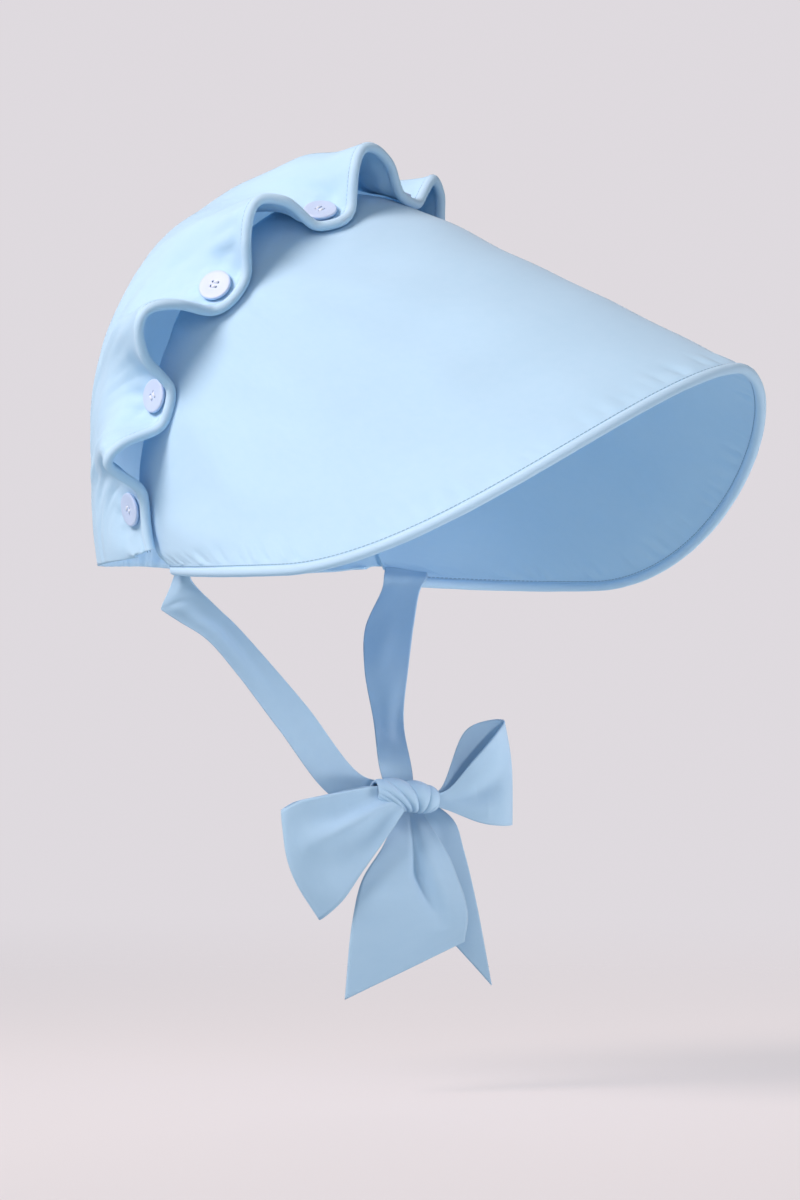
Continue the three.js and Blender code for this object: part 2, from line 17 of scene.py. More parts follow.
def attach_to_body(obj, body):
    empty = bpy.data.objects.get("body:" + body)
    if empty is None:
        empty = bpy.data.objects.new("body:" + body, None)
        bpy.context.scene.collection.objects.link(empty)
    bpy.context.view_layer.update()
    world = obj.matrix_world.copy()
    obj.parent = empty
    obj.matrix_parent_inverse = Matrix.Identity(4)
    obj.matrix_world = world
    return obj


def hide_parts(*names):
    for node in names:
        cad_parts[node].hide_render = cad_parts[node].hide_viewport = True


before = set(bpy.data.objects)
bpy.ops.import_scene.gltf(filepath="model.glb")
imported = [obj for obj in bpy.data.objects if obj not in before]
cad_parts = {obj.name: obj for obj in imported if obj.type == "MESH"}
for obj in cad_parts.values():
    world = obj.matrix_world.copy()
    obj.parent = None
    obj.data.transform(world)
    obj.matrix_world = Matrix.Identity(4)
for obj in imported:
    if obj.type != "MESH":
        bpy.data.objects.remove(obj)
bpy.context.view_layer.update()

MM = 0.001
print("solids loaded:", len(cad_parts))

# %% [markdown]
# ## Camera, light and floor
# The camera comes first, because every later choice is judged through it. It stands to the
# wearer's right of the front, a little below the middle, with a long lens that keeps the brim's
# lines nearly parallel. The room is plain: a pale world that lights everything softly, a large
# warm key lamp from the back of the wearer's right side, a wider fill from the front of that side,
# two small low lamps that reach the ties under the brim, a soft one for the far side and the back,
# and a floor that fades out into the world.
# The room's own light is cool, so shade on blue cloth stays a clear blue and never turns grey.

# %% Camera
CAMERA_AZIMUTH = math.radians(-55)
CAMERA_ELEVATION = math.radians(-1.75)
CAMERA_DISTANCE = 2.3
CAMERA_AIM = Vector((-28.1, -94.75, -213.3)) * MM
SENSOR_HEIGHT = 36
CAMERA_LENS = 138

camera_back = Vector((
    math.sin(CAMERA_AZIMUTH) * math.cos(CAMERA_ELEVATION),
    -math.cos(CAMERA_AZIMUTH) * math.cos(CAMERA_ELEVATION),
    math.sin(CAMERA_ELEVATION),
))


def aimed(place, back):
    """A matrix for a camera or lamp at a place that looks away from back."""
    right = Vector((0, 0, 1)).cross(back).normalized()
    up = back.cross(right)
    turn = Matrix((right, up, back)).transposed().to_4x4()
    return Matrix.Translation(place) @ turn


camera = bpy.data.objects.new("photo_camera", bpy.data.cameras.new("photo_camera"))
camera.data.sensor_fit = "VERTICAL"
camera.data.sensor_height = SENSOR_HEIGHT
camera.data.lens = CAMERA_LENS
camera.data.clip_end = 50
camera.matrix_world = aimed(CAMERA_AIM + camera_back * CAMERA_DISTANCE, camera_back)
bpy.context.scene.collection.objects.link(camera)
bpy.context.scene.camera = camera
bpy.context.scene.view_settings.view_transform = "Standard"
print("camera at", [round(v, 3) for v in camera.matrix_world.translation])

# %% World
BACKDROP_COLOR = (0.735, 0.70, 0.735)
ROOM_COLOR = (0.86, 0.92, 1.0)
ROOM_STRENGTH = 0.25

world = bpy.data.worlds.new("pale_room")
world.use_nodes = True
room = world.node_tree.nodes["Background"]
room.inputs["Color"].default_value = (*ROOM_COLOR, 1)
room.inputs["Strength"].default_value = ROOM_STRENGTH
backdrop = world.node_tree.nodes.new("ShaderNodeBackground")
backdrop.inputs["Color"].default_value = (*BACKDROP_COLOR, 1)
seen = world.node_tree.nodes.new("ShaderNodeLightPath").outputs["Is Camera Ray"]
either = world.node_tree.nodes.new("ShaderNodeMixShader")
world.node_tree.links.new(seen, either.inputs[0])
world.node_tree.links.new(room.outputs[0], either.inputs[1])
world.node_tree.links.new(backdrop.outputs[0], either.inputs[2])
world.node_tree.links.new(either.outputs[0], world.node_tree.nodes["World Output"].inputs["Surface"])
bpy.context.scene.world = world
print("world:", world.name)

# %% Lamps
LAMP_COLOR = (1.0, 0.725, 0.645)
LAMPS = [
    {"name": "key", "from": (-0.77, 0.27, 0.64), "aim": (-20, -70, -80), "away": 2.2, "size": 1.1,
     "power": 12.6, "spread": 75},
    {"name": "fill", "from": (-0.80, -0.50, 0.40), "aim": (-20, -70, -80), "away": 2.4, "size": 1.6,
     "power": 5.6, "spread": 120},
    {"name": "low_fill", "from": (0.45, -0.90, -0.06), "aim": (5, -60, -300), "away": 1.4, "size": 0.35,
     "power": 0.6, "spread": 32},
    {"name": "strap_fill", "from": (-0.62, -0.78, -0.03), "aim": (70, -35, -238), "away": 1.4,
     "size": 0.12, "power": 0.035, "spread": 10},
    {"name": "far_fill", "from": (0.86, 0.45, 0.15), "aim": (30, -60, -120), "away": 2.4, "size": 1.6,
     "power": 5, "spread": 120},
]

for row in LAMPS:
    lamp = bpy.data.lights.new(row["name"], "AREA")
    lamp.shape = "DISK"
    lamp.size = row["size"]
    lamp.energy = row["power"]
    lamp.color = LAMP_COLOR
    lamp.spread = math.radians(row["spread"])
    holder = bpy.data.objects.new(row["name"], lamp)
    way = Vector(row["from"]).normalized()
    holder.matrix_world = aimed(Vector(row["aim"]) * MM + way * row["away"], way)
    bpy.context.scene.collection.objects.link(holder)
print("lamps:", len(LAMPS))


# %% Node helpers
def add_node(tree, kind, feeds=None, **settings):
    """A node with its settings, and with its sockets fed by values or by other sockets."""
    node = tree.nodes.new(kind)
    for key, value in settings.items():
        setattr(node, key, value)
    for socket, feed in (feeds or {}).items():
        if isinstance(feed, bpy.types.NodeSocket):
            tree.links.new(feed, node.inputs[socket])
        else:
            node.inputs[socket].default_value = feed
    return node


def do_math(tree, operation, first, second=0.0):
    """The result socket of one step of arithmetic."""
    kind = "ShaderNodeMath"
    return add_node(tree, kind, {0: first, 1: second}, operation=operation).outputs[0]


def ease(tree, value, start, end, first, last):
    """The result socket of a smooth step, from first at start to last at end."""
    kind = "ShaderNodeMapRange"
    feeds = {"Value": value, "From Min": start, "From Max": end, "To Min": first, "To Max": last}
    return add_node(tree, kind, feeds, interpolation_type="SMOOTHSTEP").outputs["Result"]


def new_material(name):
    """A material with an empty tree but for its shader, which is returned too."""
    material = bpy.data.materials.new(name)
    material.use_nodes = True
    return material, material.node_tree, material.node_tree.nodes["Principled BSDF"]


print("node helpers:", add_node.__name__, do_math.__name__, ease.__name__, new_material.__name__)

# %% Floor
FLOOR_HEIGHT = -0.462
FLOOR_RADIUS = 2.4
FLOOR_SIDES = 96
FLOOR_FADE_START = 0.25
FLOOR_COLOR = (0.22, 0.24, 0.25)
FLOOR_GLOW = 0.70

floor_mesh = bpy.data.meshes.new("floor")
disc = bmesh.new()
bmesh.ops.create_circle(disc, cap_ends=True, segments=FLOOR_SIDES, radius=FLOOR_RADIUS)
disc.to_mesh(floor_mesh)
disc.free()
floor = bpy.data.objects.new("floor", floor_mesh)
floor.location.z = FLOOR_HEIGHT
bpy.context.scene.collection.objects.link(floor)
floor_material, tree, shader = new_material("pale_floor")
place = add_node(tree, "ShaderNodeTexCoord").outputs["Object"]
away = add_node(tree, "ShaderNodeVectorMath", {0: place}, operation="LENGTH").outputs["Value"]
fade = ease(tree, away, FLOOR_FADE_START, FLOOR_RADIUS, 1.0, 0.0)
tree.links.new(fade, shader.inputs["Alpha"])
shader.inputs["Base Color"].default_value = (*FLOOR_COLOR, 1)
shader.inputs["Emission Color"].default_value = (*BACKDROP_COLOR, 1)
shader.inputs["Emission Strength"].default_value = FLOOR_GLOW
shader.inputs["Roughness"].default_value = 0.9
floor_mesh.materials.append(floor_material)
print("floor at", FLOOR_HEIGHT)

# %% [markdown]
# ## The brim's rule
# The brim is one flat piece of stiffened cotton, bent like a half cone. Cloth that is bent and not
# stretched has straight lines in it, so its shape is a rule: straight ribs that join an arch over
# the head to a pointed front edge. The same rule is needed by the crown, which lies on the brim,
# so it is written as functions on whole arrays of points.

# %% Reading a table smoothly
def read_table(table, at):
    """A smooth reading, with no overshoot, of rows of a key and a value."""
    keys, values = np.array(table, float).T
    width = np.diff(keys)
    slope = np.diff(values) / width
    product = slope[:-1] * slope[1:]
    total = slope[:-1] + slope[1:]
    bend = np.concatenate([slope[:1], np.zeros(len(product)), slope[-1:]])
    rising = product > 0
    bend[1:-1][rising] = 2 * product[rising] / total[rising]
    i = np.clip(np.searchsorted(keys, at, side="right") - 1, 0, len(width) - 1)
    k = np.clip((at - keys[i]) / width[i], 0, 1)
    eased = k * k * (3 - 2 * k)
    start = k * (1 - k) ** 2 * width[i] * bend[i]
    end = k * k * (k - 1) * width[i] * bend[i + 1]
    return values[i] + (values[i + 1] - values[i]) * eased + start + end


def smoothstep(value, low, high):
    k = np.clip((value - low) / (high - low), 0, 1)
    return k * k * (3 - 2 * k)


def dot(a, b):
    return (a * b).sum(-1, keepdims=True)


def unit(vectors):
    return vectors / np.maximum(np.linalg.norm(vectors, axis=-1, keepdims=True), 1e-9)


print("a smooth table read at its middle:", float(read_table([(0, 0), (1, 2), (2, 3)], 1.0)))

# %% The brim's measures
CORNER_HALF_WIDTH = 95
CORNER_HEIGHT = 2.5
ARCH_HALF_WIDTH = 106
ARCH_RISE = 91
ARCH_LEG_HEIGHT = 100
ARCH_TOP_SHARE = 0.6
ARCH_TOP_Y = -46
ARCH_SWEEP = 74
ARCH_CORNER_START = 0.78
ARCH_TOP_ROUND = 0.04
ARCH_NARROWING = 1.6
ARCH_DRAW_IN = 2.2
EDGE_HALF_WIDTH = 137.5
EDGE_WIDEST_Y = -105
EDGE_REACH = 167.5
EDGE_APEX_HEIGHT = 95.5
EDGE_SIDE_HEIGHT = -1
EDGE_FRONT_SHARE = 0.695
EDGE_BLUNTNESS = 1.72
EDGE_DROP = 1.8
EDGE_NARROWING = 1.8
BRIM_BOW = 7
BRIM_BOW_SHARE = 0.5
BRIM_BOW_EASE = 0.55
BRIM_LAST_RIB = 0.985
RIBS = [
    (0, 0), (0.12, 0.07), (0.24, 0.155), (0.36, 0.31), (0.42, 0.46), (0.48, 0.63),
    (0.54, 0.722), (0.6, 0.78), (0.76, 0.826), (0.88, 0.882), (1, 1),
]
print("the brim's corners are", CORNER_HALF_WIDTH * 2, "mm apart")


# %% The brim's two edges
def arch_points(share):
    """Points of the brim's back edge, for shares from -1 over the top to 1."""
    t = np.abs(share)
    angle = np.pi / 2 * np.minimum(t / ARCH_TOP_SHARE, 1)
    leg = np.maximum((t - ARCH_TOP_SHARE) / (1 - ARCH_TOP_SHARE), 0)
    corner = np.maximum((t - ARCH_CORNER_START) / (1 - ARCH_CORNER_START), 0)
    narrowed = ARCH_HALF_WIDTH - (ARCH_HALF_WIDTH - CORNER_HALF_WIDTH) * leg ** ARCH_NARROWING
    x = np.where(leg > 0, narrowed, ARCH_HALF_WIDTH * np.sin(angle))
    lowered = ARCH_LEG_HEIGHT + (CORNER_HEIGHT - ARCH_LEG_HEIGHT) * leg
    z = np.where(leg > 0, lowered, ARCH_LEG_HEIGHT + ARCH_RISE * np.cos(angle))
    swept = ARCH_TOP_Y + ARCH_SWEEP * (np.hypot(t, ARCH_TOP_ROUND) - ARCH_TOP_ROUND)
    drawn_in = (ARCH_TOP_Y + ARCH_SWEEP * (1 - ARCH_TOP_ROUND)) * corner ** ARCH_DRAW_IN
    return np.stack([np.where(share < 0, -x, x), swept - drawn_in, z], -1)


def edge_points(share):
    """Points of the brim's front edge, for shares from -1 over the front point to 1."""
    s = np.abs(share)
    angle = np.pi / 2 * np.minimum(s / EDGE_FRONT_SHARE, 1)
    rear = np.maximum((s - EDGE_FRONT_SHARE) / (1 - EDGE_FRONT_SHARE), 0)
    power = 2 / EDGE_BLUNTNESS
    forward = np.where(rear > 0, 0, np.maximum(np.cos(angle), 0) ** power)
    narrowed = EDGE_HALF_WIDTH - (EDGE_HALF_WIDTH - CORNER_HALF_WIDTH) * rear ** EDGE_NARROWING
    x = np.where(rear > 0, narrowed, EDGE_HALF_WIDTH * np.sin(angle) ** power)
    y = np.where(rear > 0, EDGE_WIDEST_Y * (1 - rear), EDGE_WIDEST_Y - EDGE_REACH * forward)
    level = EDGE_SIDE_HEIGHT + (CORNER_HEIGHT - EDGE_SIDE_HEIGHT) * rear ** 2
    raised = EDGE_SIDE_HEIGHT + (EDGE_APEX_HEIGHT - EDGE_SIDE_HEIGHT) * forward ** EDGE_DROP
    return np.stack([np.where(share < 0, -x, x), y, np.where(rear > 0, level, raised)], -1)


print("the brim's point:", edge_points(np.array([0.0]))[0].round(1), "mm")

# %% The brim's ribs
SHARE_STEP = 1e-3
REACH_STEP = 0.02


def rib_ends(share):
    """The back and front end of the rib at each share of the arch."""
    front = read_table(RIBS, np.abs(share))
    return arch_points(share), edge_points(np.where(share < 0, -front, front))


def brim_points(share, reach):
    """Points of the brim, by share of the arch and share of the way to the front edge."""
    back, front = rib_ends(share)
    points = back + (front - back) * np.asarray(reach)[..., None]
    middle = np.maximum(1 - (share / BRIM_BOW_SHARE) ** 2, 0)
    lift = BRIM_BOW * middle * np.sin(np.pi * np.clip(reach, 0, 1) ** BRIM_BOW_EASE)
    points[..., 2] += lift
    return points


def brim_normals(share, reach):
    """The brim's outward directions."""
    along = brim_points(share + SHARE_STEP, reach) - brim_points(share - SHARE_STEP, reach)
    forward = brim_points(share, reach + REACH_STEP) - brim_points(share, reach - REACH_STEP)
    return -unit(np.cross(along, forward))


middle_rib = brim_points(np.zeros(2), np.array([0.0, 1.0]))
print("the middle rib is", round(float(np.linalg.norm(middle_rib[1] - middle_rib[0]))), "mm long")

# %% [markdown]
# ## From points to meshes
# Every cloth piece here is a grid of points, so one function makes a mesh with a cloth map in metres
# from such a grid, and one turns a piece with modifiers into a plain mesh at the origin. Soft noise,
# made from a few seeded sine waves, gives the small unevenness that all sewn cloth has.

# %% Mesh helpers
SEAT_HEIGHT = 197.8
STAGE = bpy.context.scene.collection


def to_frame(points):
    """Millimetres from the brim's corners to metres from the head seat."""
    return (np.asarray(points, float) - (0, 0, SEAT_HEIGHT)) * MM


def add_object(name, mesh):
    piece = bpy.data.objects.new(name, mesh)
    STAGE.objects.link(piece)
    return piece


def grid_object(name, grid, ring=False):
    """An object from rows and columns of points, with a cloth map in metres."""
    rows, columns = grid.shape[:2]
    lengths = np.linalg.norm(np.diff(grid, axis=1), axis=-1)
    depths = np.linalg.norm(np.diff(grid, axis=0), axis=-1)
    u = np.concatenate([[0], np.cumsum(lengths.mean(0))]) * MM
    v = np.concatenate([[0], np.cumsum(depths.mean(1))]) * MM
    r, c = np.meshgrid(np.arange(rows - 1), np.arange(columns - (not ring)), indexing="ij")
    n = (c + 1) % columns
    here, below = r * columns, (r + 1) * columns
    faces = np.stack([here + c, here + n, below + n, below + c], -1)
    mesh = bpy.data.meshes.new(name)
    mesh.from_pydata(to_frame(grid).reshape(-1, 3).tolist(), [], faces.reshape(-1, 4).tolist())
    cloth_map = mesh.uv_layers.new(name="UVMap")
    wide = np.append(u, u[-1] + lengths.mean())
    corners_u = np.stack([wide[c], wide[c + 1], wide[c + 1], wide[c]], -1)
    corners_v = np.stack([v[r], v[r], v[r + 1], v[r + 1]], -1)
    cloth_map.data.foreach_set("uv", np.stack([corners_u, corners_v], -1).ravel())
    mesh.polygons.foreach_set("use_smooth", np.ones(len(mesh.polygons), bool))
    return add_object(name, mesh)


print("the seat is", SEAT_HEIGHT, "mm above the brim's corners")


# %% Settle and thicken
def settle(piece, name):
    """A plain mesh object in place of one with modifiers."""
    deps = bpy.context.evaluated_depsgraph_get()
    mesh = bpy.data.meshes.new_from_object(piece.evaluated_get(deps), depsgraph=deps)
    mesh.name = name
    bpy.data.objects.remove(piece)
    return add_object(name, mesh)


def thicken(piece, wall):
    """A closed wall of cloth around a sheet."""
    name = piece.name
    solid = piece.modifiers.new("wall", "SOLIDIFY")
    solid.thickness = wall * MM
    solid.offset = 0
    solid.use_even_offset = False
    return settle(piece, name)


print("finished pieces go in", STAGE.name)

# %% Noise and directions
NOISE_PACES = (0.5, 1.4)
NOISE_SIZE = 0.7


def soft_noise(across, along, seed, waves=14):
    """Smooth noise of about one wave per unit, from -1 to 1."""
    chance = np.random.default_rng(seed)
    total = np.zeros(np.broadcast(across, along).shape)
    for _ in range(waves):
        turn, phase = chance.uniform(0, 2 * np.pi, 2)
        pace = chance.uniform(*NOISE_PACES) * 2 * np.pi
        total = total + np.sin(pace * (np.cos(turn) * across + np.sin(turn) * along) + phase)
    return total / math.sqrt(waves) * NOISE_SIZE


def grid_normals(grid):
    """Unit directions square to a grid of points."""
    across = np.gradient(grid, axis=1)
    down = np.gradient(grid, axis=0)
    return unit(np.cross(across, down))


print("noise in a square:", float(soft_noise(np.linspace(0, 3, 50), 0.5, 1).std().round(2)))

# %% [markdown]
# ## Cotton
# The cloth is a fine plain-weave cotton in light sky blue, matt, with a faint bloom. Threads are
# about a third of a millimetre, so the weave is a bump made of two crossed waves on the cloth map,
# with a slow noise for slubs and uneven dye. One function makes the cloth in three depths of blue;
# the deepest, for the ties and the bow, is the same cotton with painted shade for the shade under the
# brim.

# %% Cotton material
THREAD_PITCH = 0.00042
SLUB_SIZE = 0.006
SLUB_RELIEF = 1.5
WEAVE_DEPTH = 0.00005
WEAVE_STRENGTH = 0.35
WEAVE_SHADE = 0.06


def cotton(name, light, dark):
    """A plain-weave cotton between two colours."""
    material, tree, shader = new_material(name)
    cloth = add_node(tree, "ShaderNodeUVMap", uv_map="UVMap").outputs["UV"]
    split = add_node(tree, "ShaderNodeSeparateXYZ", {0: cloth}).outputs
    waves = []
    for axis in ("X", "Y"):
        turns = do_math(tree, "MULTIPLY", split[axis], 2 * math.pi / THREAD_PITCH)
        waves.append(do_math(tree, "SINE", turns))
    weave = do_math(tree, "MULTIPLY", waves[0], waves[1])
    slub = add_node(tree, "ShaderNodeTexNoise", {"Vector": cloth, "Scale": 1 / SLUB_SIZE, "Detail": 4.0})
    shade = do_math(tree, "MULTIPLY_ADD", weave, WEAVE_SHADE)
    tree.links.new(slub.outputs["Fac"], shade.node.inputs[2])
    ramp = add_node(tree, "ShaderNodeMix", {"Factor": shade}, data_type="RGBA")
    ramp.inputs["A"].default_value = (*dark, 1)
    ramp.inputs["B"].default_value = (*light, 1)
    tree.links.new(ramp.outputs["Result"], shader.inputs["Base Color"])
    height = do_math(tree, "MULTIPLY_ADD", slub.outputs["Fac"], SLUB_RELIEF)
    tree.links.new(weave, height.node.inputs[2])
    relief = {"Height": height, "Strength": WEAVE_STRENGTH, "Distance": WEAVE_DEPTH}
    bump = add_node(tree, "ShaderNodeBump", relief)
    tree.links.new(bump.outputs["Normal"], shader.inputs["Normal"])
    shader.inputs["Roughness"].default_value = 0.9
    shader.inputs["Specular IOR Level"].default_value = 0.2
    shader.inputs["Sheen Weight"].default_value = 0.12
    shader.inputs["Sheen Roughness"].default_value = 0.6
    return material


sky_cotton = cotton("sky_cotton", (0.395, 0.68, 0.92), (0.365, 0.655, 0.90))
piping_cotton = cotton("piping_cotton", (0.415, 0.69, 0.92), (0.385, 0.665, 0.90))
# Painted shade: the ties and the bow are the same cotton as the crown, and this darker blue stands for
# the shade they hang in under the brim.
tie_cotton = cotton("tie_cotton", (0.318, 0.552, 0.757), (0.29, 0.523, 0.737))
print("cottons:", sky_cotton.name, piping_cotton.name, tie_cotton.name)

# %% [markdown]
# ## The brim
# A rule calls for Geometry Nodes: a flat grid whose columns are the ribs. The tree reads both ends
# of each rib from a row of points, places the grid between them, lifts the roof by its bow, and then
# presses small puckers into the cloth where the edge seam has drawn it up. Solidify gives the wall.

# %% A node group with named inputs
def new_tree(name, inputs):
    """An empty geometry tree with named inputs, its entry node and its exit node."""
    tree = bpy.data.node_groups.new(name, "GeometryNodeTree")
    tree.interface.new_socket("Geometry", in_out="INPUT", socket_type="NodeSocketGeometry")
    for label, kind in inputs.items():
        tree.interface.new_socket(label, in_out="INPUT", socket_type="NodeSocket" + kind)
    tree.interface.new_socket("Geometry", in_out="OUTPUT", socket_type="NodeSocketGeometry")
    return tree, tree.nodes.new("NodeGroupInput").outputs, tree.nodes.new("NodeGroupOutput").inputs


def attach(piece, tree, values):
    """Put a tree on a piece, with each input set by its socket's identifier."""
    modifier = piece.modifiers.new(tree.name, "NODES")
    modifier.node_group = tree
    for item in tree.interface.items_tree:
        if item.in_out == "INPUT" and item.name in values:
            modifier[item.identifier] = values[item.name]
    return piece


def store_map(tree, geometry, cloth):
    """Keep each corner's place on the flat cloth as the UV map."""
    kind = "GeometryNodeStoreNamedAttribute"
    mapped = {"Geometry": geometry, "Name": "UVMap", "Value": cloth}
    return add_node(tree, kind, mapped, data_type="FLOAT2", domain="CORNER").outputs[0]


def end_tree(tree, geometry, exit_sockets, material):
    """Realize Instances, smooth shading and Set Material, at the end of a tree."""
    whole = add_node(tree, "GeometryNodeRealizeInstances", {"Geometry": geometry}).outputs[0]
    smooth = add_node(tree, "GeometryNodeSetShadeSmooth", {"Geometry": whole}).outputs[0]
    dressed = add_node(tree, "GeometryNodeSetMaterial", {"Geometry": smooth, "Material": material})
    tree.links.new(dressed.outputs[0], exit_sockets[0])


print("trees take named inputs, and end in Realize Instances and Set Material")

# %% Place a grid on the ribs
BRIM_INPUTS = {
    "Ribs": "Object", "Columns": "Int", "Rows": "Int", "Bow": "Float", "Pucker Depth": "Float",
    "Pucker Reach": "Float", "Dent Depth": "Float", "Seed": "Float", "Cloth": "Material",
}


def ruled_grid(tree, given):
    """A grid between both ends of each rib, which also stores each point's place on the flat cloth."""
    ribs = add_node(tree, "GeometryNodeObjectInfo", {"Object": given["Ribs"]}).outputs["Geometry"]
    sizes = {"Vertices X": given["Columns"], "Vertices Y": given["Rows"]}
    flat = add_node(tree, "GeometryNodeMeshGrid", sizes).outputs["Mesh"]
    index = add_node(tree, "GeometryNodeInputIndex").outputs[0]
    column = do_math(tree, "FLOOR", do_math(tree, "DIVIDE", index, given["Rows"]))
    row = do_math(tree, "SUBTRACT", index, do_math(tree, "MULTIPLY", column, given["Rows"]))
    reach = do_math(tree, "DIVIDE", row, do_math(tree, "SUBTRACT", given["Rows"], 1.0))
    front_end = do_math(tree, "ADD", column, given["Columns"])

    def sample(kind, value, at):
        feeds = {"Geometry": ribs, "Value": value, "Index": at}
        return add_node(tree, "GeometryNodeSampleIndex", feeds, data_type=kind).outputs[0]

    def named(label):
        return add_node(tree, "GeometryNodeInputNamedAttribute", {"Name": label}).outputs["Attribute"]

    place = add_node(tree, "GeometryNodeInputPosition").outputs[0]
    ends = {4: sample("FLOAT_VECTOR", place, column), 5: sample("FLOAT_VECTOR", place, front_end)}
    between = add_node(tree, "ShaderNodeMix", {0: reach, **ends}, data_type="VECTOR").outputs[1]
    swell = do_math(tree, "MULTIPLY", do_math(tree, "POWER", reach, BRIM_BOW_EASE), math.pi)
    roof = sample("FLOAT", named("middle"), column)
    arched = do_math(tree, "MULTIPLY", do_math(tree, "SINE", swell), roof)
    lift = add_node(tree, "ShaderNodeCombineXYZ", {"Z": do_math(tree, "MULTIPLY", arched, given["Bow"])})
    raised = add_node(tree, "ShaderNodeVectorMath", {0: between, 1: lift.outputs[0]}, operation="ADD")
    shaped = add_node(tree, "GeometryNodeSetPosition", {"Geometry": flat, "Position": raised.outputs[0]})

    along = sample("FLOAT", named("along"), column)
    length = sample("FLOAT", named("length"), column)
    from_edge = do_math(tree, "MULTIPLY", do_math(tree, "SUBTRACT", 1.0, reach), length)
    cloth = {"X": along, "Y": from_edge}
    both = add_node(tree, "ShaderNodeCombineXYZ", cloth).outputs[0]
    kept = {"Geometry": shaped.outputs[0], "Name": "cloth", "Value": both}
    return add_node(tree, "GeometryNodeStoreNamedAttribute", kept, data_type="FLOAT_VECTOR").outputs[0]


print("the brim's tree takes", len(BRIM_INPUTS), "named inputs")

# %% Puckers and dents
RIPPLE_PACES = (170.0, 18.0)
SEAM_HELD = 0.002
SEAM_FREE = 0.0045
DENT_PACE = 15.0


def pressed_depth(tree, given, cloth_place):
    """How far the cloth is pressed: puckers beside the edge seam, and slow dents elsewhere."""
    parts = add_node(tree, "ShaderNodeSeparateXYZ", {0: cloth_place}).outputs
    ripple = {"Z": given["Seed"]}
    for axis, pace in zip(("X", "Y"), RIPPLE_PACES):
        ripple[axis] = do_math(tree, "MULTIPLY", parts[axis], pace)
    ripple_place = add_node(tree, "ShaderNodeCombineXYZ", ripple).outputs[0]
    noise = add_node(tree, "ShaderNodeTexNoise", {"Vector": ripple_place, "Scale": 1.0, "Detail": 1.0})
    wave = do_math(tree, "SUBTRACT", noise.outputs["Fac"], 0.5)
    drawn = ease(tree, parts["Y"], 0.0, given["Pucker Reach"], 1.0, 0.0)
    loose = ease(tree, parts["Y"], SEAM_HELD, SEAM_FREE, 0.0, 1.0)
    drawn_up = do_math(tree, "MULTIPLY", do_math(tree, "MULTIPLY", wave, drawn), loose)
    pucker = do_math(tree, "MULTIPLY", drawn_up, given["Pucker Depth"])
    slow = {"Vector": cloth_place, "Scale": DENT_PACE, "Detail": 1.0}
    dents = add_node(tree, "ShaderNodeTexNoise", slow).outputs["Fac"]
    pressed_in = do_math(tree, "MULTIPLY", do_math(tree, "SUBTRACT", dents, 0.5), given["Dent Depth"])
    dent = do_math(tree, "MULTIPLY", pressed_in, do_math(tree, "SUBTRACT", 1.0, drawn))
    return do_math(tree, "ADD", pucker, dent)


print("puckers start", SEAM_HELD / MM, "mm from the edge")


# %% The ruled brim's tree
def ruled_brim_tree():
    tree, given, result = new_tree("ruled_brim", BRIM_INPUTS)
    stored = ruled_grid(tree, given)
    kind = "GeometryNodeInputNamedAttribute"
    cloth_place = add_node(tree, kind, {"Name": "cloth"}, data_type="FLOAT_VECTOR").outputs["Attribute"]
    depth = pressed_depth(tree, given, cloth_place)
    out = add_node(tree, "GeometryNodeInputNormal").outputs[0]
    press = add_node(tree, "ShaderNodeVectorMath", {0: out, "Scale": depth}, operation="SCALE")
    moved = {"Geometry": stored, "Offset": press.outputs[0]}
    pressed = add_node(tree, "GeometryNodeSetPosition", moved).outputs[0]
    end_tree(tree, store_map(tree, pressed, cloth_place), result, given["Cloth"])
    return tree


brim_rule = ruled_brim_tree()
print("the brim's tree has", len(brim_rule.nodes), "nodes")

# %% The brim's cloth
BRIM_WALL = 2.4
BRIM_COLUMNS = 380
BRIM_ROWS = 110
EDGE_TUCK = 1.9

last_front = float(read_table(RIBS, BRIM_LAST_RIB))
front_shares = np.linspace(-last_front, last_front, BRIM_COLUMNS)
inverse_ribs = [(front, back) for back, front in RIBS]
brim_shares = np.sign(front_shares) * read_table(inverse_ribs, np.abs(front_shares))
rib_back, rib_front = rib_ends(brim_shares)
rib_way = unit(rib_front - rib_back)
rib_front = rib_front + rib_way * EDGE_TUCK
rib_length = np.linalg.norm(rib_front - rib_back, axis=-1)
edge_step = np.linalg.norm(np.diff(rib_front, axis=0), axis=-1)
edge_along = np.concatenate([[0], np.cumsum(edge_step)])

ribs_mesh = bpy.data.meshes.new("brim_ribs")
ribs_mesh.from_pydata(to_frame(np.concatenate([rib_back, rib_front])).tolist(), [], [])
rib_facts = {
    "middle": np.maximum(1 - (brim_shares / BRIM_BOW_SHARE) ** 2, 0),
    "along": edge_along * MM,
    "length": rib_length * MM,
}
for label, values in rib_facts.items():
    fact = ribs_mesh.attributes.new(label, "FLOAT", "POINT")
    fact.data.foreach_set("value", np.tile(values, 2))
ribs_object = add_object("brim_ribs", ribs_mesh)
brim_cloth = attach(add_object("brim_cloth", bpy.data.meshes.new("brim_cloth")), brim_rule, {
    "Ribs": ribs_object, "Columns": BRIM_COLUMNS, "Rows": BRIM_ROWS, "Bow": BRIM_BOW * MM,
    "Pucker Depth": 0.005, "Pucker Reach": 0.022, "Dent Depth": 0.006, "Seed": 4.0, "Cloth": sky_cotton,
})
brim_cloth = thicken(brim_cloth, BRIM_WALL)
bpy.data.objects.remove(ribs_object)
print("brim:", len(brim_cloth.data.polygons), "faces, edge", round(edge_along[-1]), "mm long")

# %% [markdown]
# ## Piping
# Both raw edges are bound with piping: a bias strip wrapped round a soft cord. It is a round tube
# that follows a path, so one short tree sweeps a circle along any line of points. A slow noise on
# the tube's radius keeps it from looking drawn.

# %% The piping's tree
PIPING_RADIUS = 2.6
PIPING_GAP = 0.75
PIPING_SIDES = 20
PIPING_UNEVENNESS = 0.12
PIPING_NOISE_PACE = 60.0


